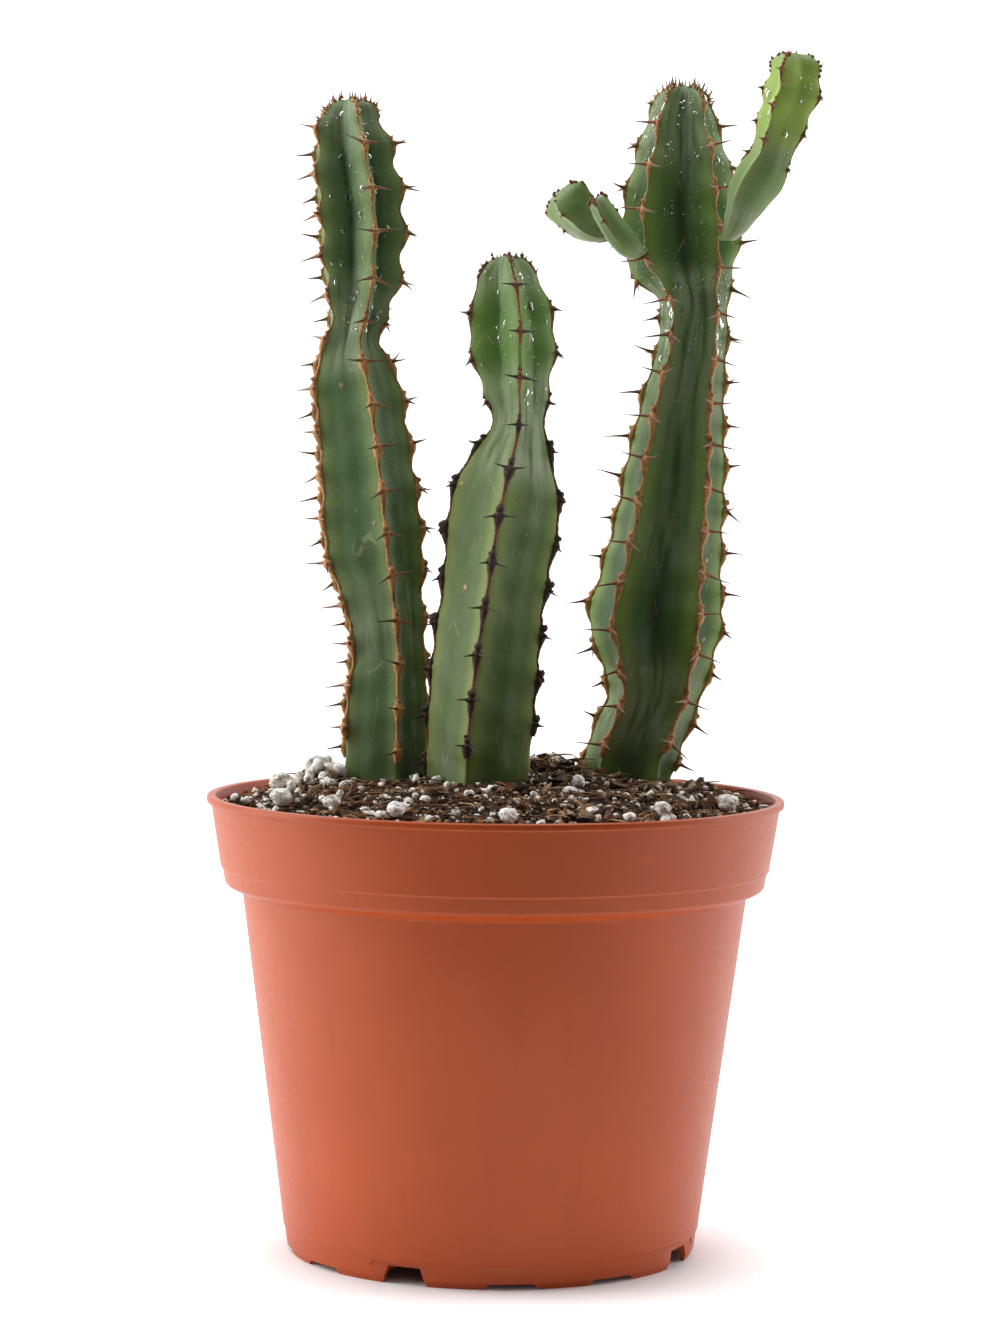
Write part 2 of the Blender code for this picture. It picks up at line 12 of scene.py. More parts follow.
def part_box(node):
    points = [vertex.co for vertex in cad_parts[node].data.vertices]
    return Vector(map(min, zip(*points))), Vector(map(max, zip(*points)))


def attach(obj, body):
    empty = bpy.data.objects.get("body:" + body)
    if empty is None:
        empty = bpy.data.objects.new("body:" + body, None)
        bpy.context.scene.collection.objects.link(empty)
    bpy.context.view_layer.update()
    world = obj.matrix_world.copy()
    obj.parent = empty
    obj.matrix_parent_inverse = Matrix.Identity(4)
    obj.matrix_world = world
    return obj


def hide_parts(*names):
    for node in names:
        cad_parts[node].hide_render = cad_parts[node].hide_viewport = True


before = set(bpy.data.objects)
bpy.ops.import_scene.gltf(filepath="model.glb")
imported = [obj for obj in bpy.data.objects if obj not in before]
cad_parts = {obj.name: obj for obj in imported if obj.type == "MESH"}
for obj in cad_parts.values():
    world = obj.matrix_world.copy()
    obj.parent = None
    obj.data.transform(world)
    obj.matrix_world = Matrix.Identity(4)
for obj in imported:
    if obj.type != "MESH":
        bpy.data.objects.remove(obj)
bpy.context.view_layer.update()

MM = 0.001
CHANCE = np.random.default_rng(41)

# Pot, the same sizes as its solid.
RIM_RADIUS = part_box("pot")[1].x
POT_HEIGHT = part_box("pot")[1].z
BASE_RADIUS = 0.0542
WALL = 0.0012
LIP_OVERHANG = 0.0011
LIP_HEIGHT = 0.0018
COLLAR_STEP_DROP = 0.0182
COLLAR_STEP = 0.0005
COLLAR_DROP = 0.0228
COLLAR_DRAFT = 0.158
COLLAR_ROUND = 0.0018
LEDGE = 0.0045
LEDGE_FALL = 0.0022
BAND_HEIGHT = 0.0063
BAND_STEP = 0.0003
BAND_TAPER = 0.0007
FOOT_HEIGHT = 0.0014
FOOT_SET_BACK = 0.0005
FLOOR_UNDERSIDE = 0.0030
BOSS_RADIUS = 0.0105
BOSS_SLOPE = 0.0035
NOTCHES = 12
DEEP_EVERY = 3
NOTCH_WIDTH = 0.0112
NOTCH_FLARE = 0.0013
DRAIN_WIDTH = 0.0088
DRAIN_FLARE = 0.0017
DRAIN_HEIGHT = 0.0046
DRAIN_REACH = 0.0050
PANEL_WIDTH = 0.0170
PANEL_FLARE = 0.0030
PANEL_MARGIN = 0.0006
FIRST_DRAIN_AZIMUTH = -24.0
POT_STEPS = 240
SAME_POINT = 0.005 * MM
SHORTEST_EDGE = 0.002 * MM
SHARP_ANGLE = 38.0

# Potting mix.
MIX_GAP = 0.0003
MIX_BELOW_RIM = 0.0030
MOUND_HEIGHT = 0.0080
MOUND_SHAPE = ((0.0, 1.0), (0.25, 0.97), (0.45, 0.87), (0.62, 0.70), (0.78, 0.42), (0.90, 0.16), (1.0, 0.0))
# Loose heaps on the mound: x, y, height and spread in mm.
HEAPS = ((-47, 4, 5.0, 7.0), (14, 22, 4.5, 9.0), (58, 16, 3.0, 8.0), (-18, 14, 2.5, 7.0), (24, -6, 1.5, 9.0))

LOOSE_DROP = 1.2 * MM  # the loose surface lies this far below the even mound
CALM_EDGE = 5 * MM  # the mix is flatter this near the wall
GRAIN_DROP = 1.0 * MM  # how much lower a large grain's lump sits than its solid
# Lumps all over the surface: height and size in mm, and the seed of their noise.
GROUND_LUMPS = ((0.9, 11, 5), (0.7, 4.5, 6), (0.4, 2, 7))

# How far from its parent's rib a branch starts.
SEAT_STANDOFF = 0.0020

Shoot = namedtuple("Shoot", "name foot seat rows ribs phases spacing notch spine young")

# Each row of a stem: height above the mix, lean to the right, lean to the back, rib radius (mm),
# valley radius as a share of it, and twist in degrees.
LEFT_ROWS = (
    (-26, 1.0, 0.0, 7.0, 0.90, 0), (-8, 0.4, 0.0, 10.2, 0.84, 0), (0, 0.2, 0.0, 10.9, 0.82, 0),
    (18, 0.2, 0.0, 11.2, 0.80, 0), (34, 0.5, 0.0, 10.0, 0.80, 0), (46, -0.9, 0.0, 10.8, 0.78, 0),
    (59, -3.4, 0.2, 13.2, 0.75, 0), (78, -5.4, 0.4, 12.8, 0.74, 0), (90, -6.8, 0.6, 12.2, 0.74, 0),
    (103, -8.6, 0.6, 11.4, 0.74, 0), (110, -9.5, 0.8, 9.0, 0.72, 0), (116, -8.9, 1.0, 7.0, 0.62, 0),
    (124, -7.5, 1.2, 8.8, 0.54, 0), (133, -7.3, 1.4, 10.8, 0.50, 0), (145, -7.4, 1.6, 11.5, 0.48, 0),
    (157, -9.0, 1.8, 11.2, 0.48, 0), (166, -10.2, 2.0, 9.8, 0.50, 0), (172, -10.9, 2.2, 7.7, 0.54, 0),
    (174.8, -10.9, 2.4, 5.6, 0.62, 0), (176, -10.9, 2.4, 3.2, 0.72, 0),
)
MIDDLE_ROWS = (
    (-26, -1.0, 0.0, 8.0, 0.90, -12), (-8, -0.4, 0.0, 12.4, 0.80, -12), (0, 0.0, 0.0, 13.3, 0.76, -12),
    (16, 0.8, 0.0, 13.9, 0.74, -11), (34, 2.2, 0.0, 13.7, 0.73, -9), (47, 3.6, 0.0, 13.3, 0.73, -7),
    (59, 5.1, 0.2, 13.8, 0.72, -6), (68, 6.2, 0.4, 14.2, 0.72, -5), (78, 7.5, 0.5, 12.3, 0.74, -2),
    (84, 8.4, 0.6, 9.8, 0.76, 0), (90, 9.6, 0.8, 7.2, 0.78, 0), (94, 9.7, 1.0, 6.8, 0.70, 2),
    (101, 9.0, 1.2, 8.8, 0.58, 5), (108, 8.4, 1.4, 10.4, 0.52, 8), (114, 7.8, 1.6, 11.4, 0.50, 10),
    (121, 7.4, 1.8, 10.4, 0.50, 12), (127, 6.6, 2.0, 9.0, 0.54, 12), (131, 6.2, 2.2, 6.8, 0.60, 12),
    (133.4, 6.2, 2.2, 4.8, 0.68, 12), (134.6, 6.2, 2.2, 2.8, 0.74, 12),
)
RIGHT_ROWS = (
    (-26, -1.0, 0.0, 8.0, 0.88, 0), (-8, -0.8, 0.0, 11.2, 0.76, 0), (0, -0.8, 0.0, 12.4, 0.72, 0),
    (8, 1.2, 0.0, 12.4, 0.70, 0), (21, 5.9, 0.0, 12.6, 0.68, 0), (33, 6.7, 0.0, 15.9, 0.64, 0),
    (43, 6.4, 0.0, 18.4, 0.62, 0), (52, 7.6, 0.0, 16.8, 0.62, 0), (64, 9.2, -0.2, 15.2, 0.64, 0),
    (84, 11.4, -0.4, 13.4, 0.66, 0), (100, 12.9, -0.6, 11.2, 0.70, 0), (118, 15.4, -0.8, 9.4, 0.72, 0),
    (129, 15.2, -1.0, 10.0, 0.66, 0), (138, 12.4, -1.2, 15.0, 0.56, 0), (147, 11.4, -1.4, 16.0, 0.54, 0),
    (157, 11.2, -1.6, 14.4, 0.54, 0), (167, 11.6, -1.8, 12.0, 0.56, 0), (174, 11.4, -2.0, 9.6, 0.58, 0),
    (179.4, 11.8, -2.2, 7.8, 0.60, 0), (182.4, 12.0, -2.2, 5.6, 0.66, 0), (183.6, 12.0, -2.2, 3.2, 0.74, 0),
)

# A branch's rows hold the same values, with the heights and leans measured from its seat.
TALL_BRANCH_ROWS = (
    (0.2, 1.0, -0.8, 2.0, 0.94, 0), (2.2, 2.2, -2.6, 3.2, 0.92, 0), (5.5, 3.6, -4.4, 4.4, 0.88, 0),
    (10.5, 5.6, -6.2, 6.0, 0.84, 0), (16.5, 9.0, -7.4, 6.7, 0.80, 0), (20.5, 11.0, -7.8, 5.6, 0.76, 0),
    (25.0, 12.6, -8.0, 6.0, 0.70, 0), (31.0, 14.4, -8.2, 6.8, 0.66, 0), (37.5, 16.4, -8.2, 7.2, 0.62, 0),
    (43.0, 17.2, -8.0, 6.9, 0.62, 0), (45.6, 17.2, -7.9, 5.6, 0.66, 0), (46.9, 17.2, -7.8, 3.6, 0.74, 0),
)
BACK_BRANCH_ROWS = (
    (0.2, -0.9, 0.0, 1.8, 0.94, 0), (0.9, -3.9, -0.2, 3.4, 0.90, 0), (2.8, -6.8, -0.4, 4.9, 0.84, 0),
    (5.6, -9.2, -0.6, 6.0, 0.78, 0), (8.4, -11.8, -0.8, 6.8, 0.72, 0), (10.4, -13.4, -0.8, 5.8, 0.74, 0),
    (11.6, -14.4, -0.9, 3.0, 0.80, 0),
)
FRONT_BRANCH_ROWS = (
    (0.2, -0.8, -0.6, 2.2, 0.94, 0), (1.6, -2.6, -1.6, 3.2, 0.92, 0), (4.4, -5.4, -2.8, 3.7, 0.88, 0),
    (7.8, -8.0, -3.6, 3.5, 0.82, 0), (11.0, -10.2, -4.2, 3.3, 0.78, 0), (13.2, -11.4, -4.6, 2.8, 0.76, 0),
    (14.2, -12.0, -4.8, 1.6, 0.82, 0),
)

# Azimuths are in degrees from the front (-Y), positive to the right. A stem has a foot, where it
# enters the mix, in shares of the mix's radius. A branch has a seat: its parent, the parent's rib,
# and the height on it in mm. young is the height above the mix where the latest growth begins.
SHOOTS = (
    Shoot("stem_left", (-0.4117, 0.0834), None, LEFT_ROWS, (20, -60, -115, 88, 160),
          (0.0, 0.5, 0.0, 0.0, 0.5), 0.0112, 0.0014, 0.0064, 0.114),
    Shoot("stem_middle", (-0.0695, -0.1043), None, MIDDLE_ROWS, (0, -88, 92, 180), (0.0, 0.5, 0.5, 0.0),
          0.0118, 0.0009, 0.0046, 0.092),
    Shoot("stem_right", (0.4937, 0.3755), None, RIGHT_ROWS, (-40, 37, -106, 100, 178),
          (0.0, 0.5, 0.5, 0.0, 0.5), 0.0112, 0.0010, 0.0076, 0.110),
    Shoot("branch_tall", None, ("stem_right", 1, 142), TALL_BRANCH_ROWS, (-30, 78, 165, -112),
          (0.0, 0.5, 0.0, 0.5), 0.0092, 0.0013, 0.0034, 0.019),
    Shoot("branch_back", None, ("stem_right", 2, 146), BACK_BRANCH_ROWS, (-30, 70, 180, -110),
          (0.0, 0.5, 0.0, 0.5), 0.0064, 0.0008, 0.0024, 0.012),
    Shoot("branch_front", None, ("stem_right", 0, 141), FRONT_BRANCH_ROWS, (-20, -125, 110),
          (0.0, 0.5, 0.0), 0.0064, 0.0006, 0.0024, 0.016),
)


# ---------------------------------------------------------------- meshes

def make_object(name, verts, faces, look, smooth=True, **values):
    """A mesh piece with one value, or one vector, per vertex for each named attribute."""
    mesh = bpy.data.meshes.new(name)
    mesh.from_pydata([tuple(v) for v in verts], [], faces)
    for label, data in values.items():
        data = np.asarray(data, np.float32)
        kind = "FLOAT" if data.ndim == 1 else "FLOAT_VECTOR"
        made = mesh.attributes.new(label, kind, "POINT")
        made.data.foreach_set("value" if data.ndim == 1 else "vector", data.ravel())
    mesh.polygons.foreach_set("use_smooth", [smooth] * len(mesh.polygons))
    mesh.materials.append(look)
    mesh.update()
    obj = bpy.data.objects.new(name, mesh)
    bpy.context.scene.collection.objects.link(obj)
    return obj


def belongs(obj, slot, *nodes):
    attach(obj, "root")
    if nodes:
        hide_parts(*nodes)


def ripple(points, size, seed):
    """Smooth noise from -1 to 1 at points, whose lumps are about this size across."""
    chance = np.random.default_rng(seed)
    total = np.zeros(points.shape[:-1])
    for _ in range(9):
        way = chance.normal(size=3)
        way /= np.linalg.norm(way)
        pace = 2 * math.pi / (size * chance.uniform(0.7, 1.8))
        total += np.sin(points @ way * pace + chance.uniform(0, 2 * math.pi))
    return total / 4.0


def grid_faces(rows, columns):
    """Quads between rings of a closed tube."""
    faces = []
    for i in range(rows - 1):
        for j in range(columns):
            k = (j + 1) % columns
            faces.append((i * columns + j, i * columns + k, (i + 1) * columns + k, (i + 1) * columns + j))
    return faces


# ---------------------------------------------------------------- shoots

def smooth(at, knots, values):
    """A smooth curve through the values, read at the given places."""
    at, knots, values = (np.asarray(v, float) for v in (at, knots, values))
    slopes = np.gradient(values, knots, axis=0)
    i = np.clip(np.searchsorted(knots, at, side="right") - 1, 0, len(knots) - 2)
    span = (knots[i + 1] - knots[i])[:, None]
    t = ((at - knots[i])[:, None]) / span
    start = (1 + 2 * t) * (1 - t) ** 2 * values[i] + t * (1 - t) ** 2 * span * slopes[i]
    end = t * t * (3 - 2 * t) * values[i + 1] - t * t * (1 - t) * span * slopes[i + 1]
    return start + end


# A rib's teeth are smaller where the shoot is thinner than this.
FULL_TEETH_RADIUS = 8 * MM


class Skeleton:
    """A shoot's axis, rib radii and directions."""

    def __init__(self, shoot, start, inward=None):
        self.shoot = shoot
        self.inward = inward
        rows = np.array(shoot.rows, float)
        centres = start + np.column_stack([rows[:, 1], rows[:, 2], rows[:, 0]]) * MM
        steps = np.linalg.norm(np.diff(centres, axis=0), axis=1)
        self.line = start[2]
        self.knots = np.concatenate([[0.0], np.cumsum(steps)])
        self.length = self.knots[-1]
        self.columns = np.column_stack([centres, rows[:, 3] * MM, rows[:, 4], rows[:, 5]])

    def read(self, at):
        values = smooth(at, self.knots, self.columns)
        return values[:, :3], values[:, 3], values[:, 4], values[:, 5]

    def directions(self, at):
        """Unit vectors up the axis, to its front and to its right, at the given lengths."""
        reach = self.shoot.spacing
        ahead = self.read(np.minimum(np.asarray(at) + reach, self.length))[0]
        behind = self.read(np.maximum(np.asarray(at) - reach, 0.0))[0]
        up = ahead - behind
        up /= np.linalg.norm(up, axis=1)[:, None]
        front = np.array([0.0, -1.0, 0.0]) - up * (-up[:, 1])[:, None]
        front /= np.linalg.norm(front, axis=1)[:, None]
        return up, front, np.cross(up, front)

    def outward(self, at, azimuth):
        _, front, right = self.directions(at)
        angle = np.radians(azimuth + self.read(at)[3])[:, None]
        return np.cos(angle) * front + np.sin(angle) * right

    def tooth(self, at, rib):
        """From 1 at a rib's areoles to -1 between them, and steeper just above each areole."""
        place = np.asarray(at) / self.shoot.spacing - self.shoot.phases[rib]
        place = place - 0.10 * np.sin(2 * np.pi * place)
        return 1.0 - 2.0 * np.abs(np.sin(np.pi * place)) ** 0.95

    def crest_radius(self, at, rib):
        """Distance from the axis to a rib's crest. Deep ribs are more scalloped."""
        _, radius, valley, _ = self.read(at)
        fade = np.clip(radius / FULL_TEETH_RADIUS, 0.0, 1.0)
        depth = self.shoot.notch * np.clip(1.0 + 2.4 * (0.66 - valley), 0.5, 1.3)
        if not self.shoot.foot:
            fade = fade * np.clip(2.5 * np.asarray(at) / self.length - 1.0, 0, 1)
        return radius + 0.5 * depth * (self.tooth(at, rib) - 0.1) * fade

    def crest(self, at, rib):
        way = self.outward(at, self.shoot.ribs[rib])
        return self.read(at)[0] + way * self.crest_radius(at, rib)[:, None]


def grow_skeletons():
    """A skeleton for each shoot: stems stand in the mix, and branches on a rib of their parent."""
    grown = {}
    for shoot in SHOOTS:
        inward = None
        if shoot.foot:
            x, y = (v * mix_radius() for v in shoot.foot)
            start = np.array([x, y, mound(x, y)])
        else:
            parent, rib, height = shoot.seat
            host = grown[parent]
            at = np.interp(host.line + height * MM, host.columns[:, 2], host.knots)
            out = host.outward([at], host.shoot.ribs[rib])[0]
            start = host.crest([at], rib)[0] + out * SEAT_STANDOFF
            inward = -out
        grown[shoot.name] = Skeleton(shoot, start, inward)
    return grown


RING_STEP = 0.0009
PER_VALLEY = 26  # lengthwise lines from one crest to the next
CREST_ROUND = 0.05  # rounding of a crest, as a share of the way to the valley
CROWN_SPAN = 8 * MM  # length at the top over which the valleys deepen
USUAL_RADIUS = 11 * MM  # turns an angle round a stem into a length for the grain of its skin
GROWTH_SPAN = 6 * MM  # height over which old skin turns into new
# Where the crown closes: the share of the way in to the axis, and the drop in mm.
CROWN_RINGS = ((0.25, 0.1), (0.55, 0.7), (0.85, 1.4))
# How far the rings of a branch's neck lie inside the rib it grows from, in mm, and how much it
# narrows in each mm.
NECK_DEPTHS = (3.3, 2.4, 1.6, 0.8)
NECK_TAPER = 0.12
WAIST_SPAN = 22  # rings on either side, over which a waist is measured


def make_skin(skeleton, look):
    """The green body of a shoot: wedge-shaped ribs with rounded valleys, toothed at the areoles."""
    shoot = skeleton.shoot
    lowest = skeleton.knots[1] if shoot.foot else 0.0
    at = np.append(np.arange(lowest, skeleton.length, RING_STEP), skeleton.length)
    centre, radius, valley, twist = skeleton.read(at)
    up, front, right = skeleton.directions(at)
    hollow = radius * valley * (1 - 0.25 * np.clip((at - skeleton.length) / CROWN_SPAN + 1, 0, 1) ** 2)
    order = sorted(range(len(shoot.ribs)), key=lambda i: shoot.ribs[i])
    share = 0.5 * (1 - np.cos(np.pi * np.arange(PER_VALLEY) / PER_VALLEY))
    sharpness = 1.7 + 1.6 * np.clip(valley - 0.6, 0, 0.2) / 0.2
    columns = []
    for place, rib in enumerate(order):
        following = order[(place + 1) % len(order)]
        gap = (shoot.ribs[following] - shoot.ribs[rib]) % 360
        for t in share:
            near = rib if t < 0.5 else following
            d = 2 * min(t, 1 - t)
            d = (math.hypot(d, CREST_ROUND) - CREST_ROUND) / (math.hypot(1, CREST_ROUND) - CREST_ROUND)
            rise = (1 - d) ** sharpness
            tooth = skeleton.tooth(at, near)
            swell = 1.0 + 0.05 * tooth * d * (1 - d)
            reach = (hollow + (skeleton.crest_radius(at, near) - hollow) * rise) * swell
            columns.append((np.full(len(at), shoot.ribs[rib] + gap * t), reach, np.full(len(at), 1 - d)))
    azimuths, radii, ribness = (np.stack(v, axis=1) for v in zip(*columns))
    angle = np.radians(azimuths + twist[:, None])[:, :, None]
    way = np.cos(angle) * front[:, None, :] + np.sin(angle) * right[:, None, :]
    points = centre[:, None, :] + way * radii[:, :, None]
    seed = len(shoot.name)
    lump = 0.22 * MM * ripple(points, 16 * MM, seed) + 0.05 * MM * ripple(points, 4 * MM, seed + 1)
    points = points + way * lump[:, :, None]
    sunk = [points[-1] + (centre[-1] - points[-1]) * s - up[-1] * d * MM for s, d in CROWN_RINGS]
    neck = [] if shoot.foot else [
        points[0] + (centre[0] - points[0]) * NECK_TAPER * d + skeleton.inward * d * MM for d in NECK_DEPTHS]
    rings = np.concatenate([neck, points, sunk] if neck else [points, sunk])
    count = rings.shape[1]
    verts = rings.reshape(-1, 3)
    verts = np.vstack([verts, rings[-1].mean(axis=0), rings[0].mean(axis=0)])
    faces = grid_faces(len(rings), count)
    last = (len(rings) - 1) * count
    for j in range(count):
        k = (j + 1) % count
        faces.append((last + j, last + k, len(verts) - 2))
        faces.append((k, j, len(verts) - 1))
    around = np.radians(azimuths) * USUAL_RADIUS
    weave = np.stack([around, np.broadcast_to(at[:, None], around.shape), 0 * around], axis=2)
    pinch = np.repeat(np.clip(1 - radius / widest_near(radius), 0, 1)[:, None], count, axis=1)
    # How deep the ribs are, from 0 to 1: the skin's colour deepens the painted shade in its valleys by it.
    depth = np.repeat(np.clip((0.80 - valley) / 0.22, 0, 1)[:, None], count, axis=1)
    values = {}
    for label, data in (("rib", ribness), ("weave", weave), ("pinch", pinch), ("depth", depth)):
        below, above = np.repeat(data[:1], len(neck), axis=0), np.repeat(data[-1:], len(sunk), axis=0)
        padded = np.concatenate([below, data, above])
        padded = padded.reshape(-1, 3) if data.ndim == 3 else padded.ravel()
        values[label] = np.concatenate([padded, 0 * padded[:2]])
    height = verts[:, 2] - skeleton.line
    young = np.clip((height - shoot.young) / GROWTH_SPAN, 0, 1)
    return make_object(shoot.name + "_skin", verts, faces, look, height=height, young=young, **values)


def widest_near(values):
    """The largest value near each place along a line."""
    padded = np.pad(values, WAIST_SPAN, mode="edge")
    return np.array([padded[i:i + 2 * WAIST_SPAN + 1].max() for i in range(len(values))])


# ---------------------------------------------------------------- horny margins and spines

STRIP_STEP = 0.5 * MM
STRIP_SIDES = 10
STRIP_ROOT = 0.9 * MM  # depth of a strip in the skin
KNOB_RISE = 1.7 * MM  # from an areole up to its knob
AGEING = 20 * MM  # height over which young horn turns old
BARE_ABOVE_MIX = 3 * MM
BARE_BRANCH = 0.36  # share of a branch's length that carries no spines
BARE_TOP = 1.2 * MM
# Beads of horn over the crown: how far below the top they sit, in mm, on stems and on small branches.
CROWN_BEADS, FEW_CROWN_BEADS = (0.4, 1.2, 2.2, 3.4, 4.8), (0.4, 1.2)
SHORT_SHOOT = 40 * MM
SPINE_SIDES = 7
SPINE_RINGS = 7
SPINE_GAP = 1.2 * MM  # kept between a spine's tip and another shoot
SPINE_GIRTH = 0.88 * MM
CROWN_GIRTH = 0.50 * MM
BRISTLE_GIRTH = 0.36 * MM
OLD_SLOT = "old_horny_margin"


def areoles(skeleton, rib):
    """Lengths along the axis where a rib's spine pairs sit, above the mix."""
    shoot = skeleton.shoot
    places = (np.arange(int(skeleton.length / shoot.spacing) + 1) + shoot.phases[rib]) * shoot.spacing
    crest = skeleton.crest(places, rib)
    if shoot.foot:
        clear = [p[2] > mound(p[0], p[1]) + BARE_ABOVE_MIX for p in crest]
    else:
        clear = places > BARE_BRANCH * skeleton.length
    return [a for a, c in zip(places, clear) if c and a < skeleton.length - BARE_TOP]


def spine(root, way, droop, length, thickness):
    """A tapered, slightly bent thorn with a flared foot. Returns its vertices and faces, and how far
    out along it each vertex is."""
    way = way / np.linalg.norm(way)
    across = np.cross(way, (0.3, 0.2, 1.0))
    across /= np.linalg.norm(across)
    other = np.cross(way, across)
    verts, reach = [], []
    for i in range(SPINE_RINGS):
        t = i / SPINE_RINGS
        girth = thickness * ((1 - t) ** 0.85 + 0.9 * math.exp(-9 * t))
        middle = root + way * length * t + droop * length * t * t
        for j in range(SPINE_SIDES):
            turn = 2 * math.pi * j / SPINE_SIDES
            verts.append(middle + girth / 2 * (math.cos(turn) * across + math.sin(turn) * other))
            reach.append(t)
    verts.append(root + way * length + droop * length)
    reach.append(1.0)
    faces = grid_faces(SPINE_RINGS, SPINE_SIDES)
    last = (SPINE_RINGS - 1) * SPINE_SIDES
    faces += [(last + j, last + (j + 1) % SPINE_SIDES, len(verts) - 1) for j in range(SPINE_SIDES)]
    faces.append(tuple(reversed(range(SPINE_SIDES))))
    return np.array(verts), faces, np.array(reach)


def crowded(tip, skeleton, skeletons):
    """True if a spine's tip would reach another shoot."""
    for other in skeletons:
        if other is skeleton:
            continue
        at = np.linspace(0.0, other.length, 60)
        centre, radius, _, _ = other.read(at)
        if (np.linalg.norm(centre - tip, axis=1) < radius + SPINE_GAP).any():
            return True
    return False


class Heap:
    """Bits of horn gathered into one piece. Each vertex has how far out it is on a thorn, and how
    much it belongs to a shield or knob."""

    def __init__(self):
        self.verts, self.faces, self.reaches, self.pads = [], [], [], []
        self.count = 0
        self.ball, self.ball_faces = lump_template(2)

    def put(self, verts, faces, reach, pad):
        self.faces += [tuple(int(v) + self.count for v in face) for face in faces]
        self.verts.append(verts)
        self.reaches.append(np.broadcast_to(reach, len(verts)))
        self.pads.append(np.broadcast_to(pad, len(verts)))
        self.count += len(verts)

    def bead(self, middle, size, seed):
        """A craggy bead."""
        lump = 1 + 0.16 * ripple(self.ball, 0.5, seed) + 0.10 * ripple(self.ball, 0.2, seed + 9)
        verts = middle + self.ball * lump[:, None] * size * CHANCE.uniform(0.8, 1.2, 3)
        self.put(verts, self.ball_faces, 0.0, 1.0)

    def thorn(self, root, way, droop, length, girth):
        verts, faces, reach = spine(root, way, droop, length, girth)
        self.put(verts, faces, 0.15 + 0.85 * reach, 1.0)

    def finish(self, name, look):
        return make_object(name, np.vstack(self.verts), self.faces, look,
                           thorn=np.concatenate(self.reaches), pad=np.concatenate(self.pads))


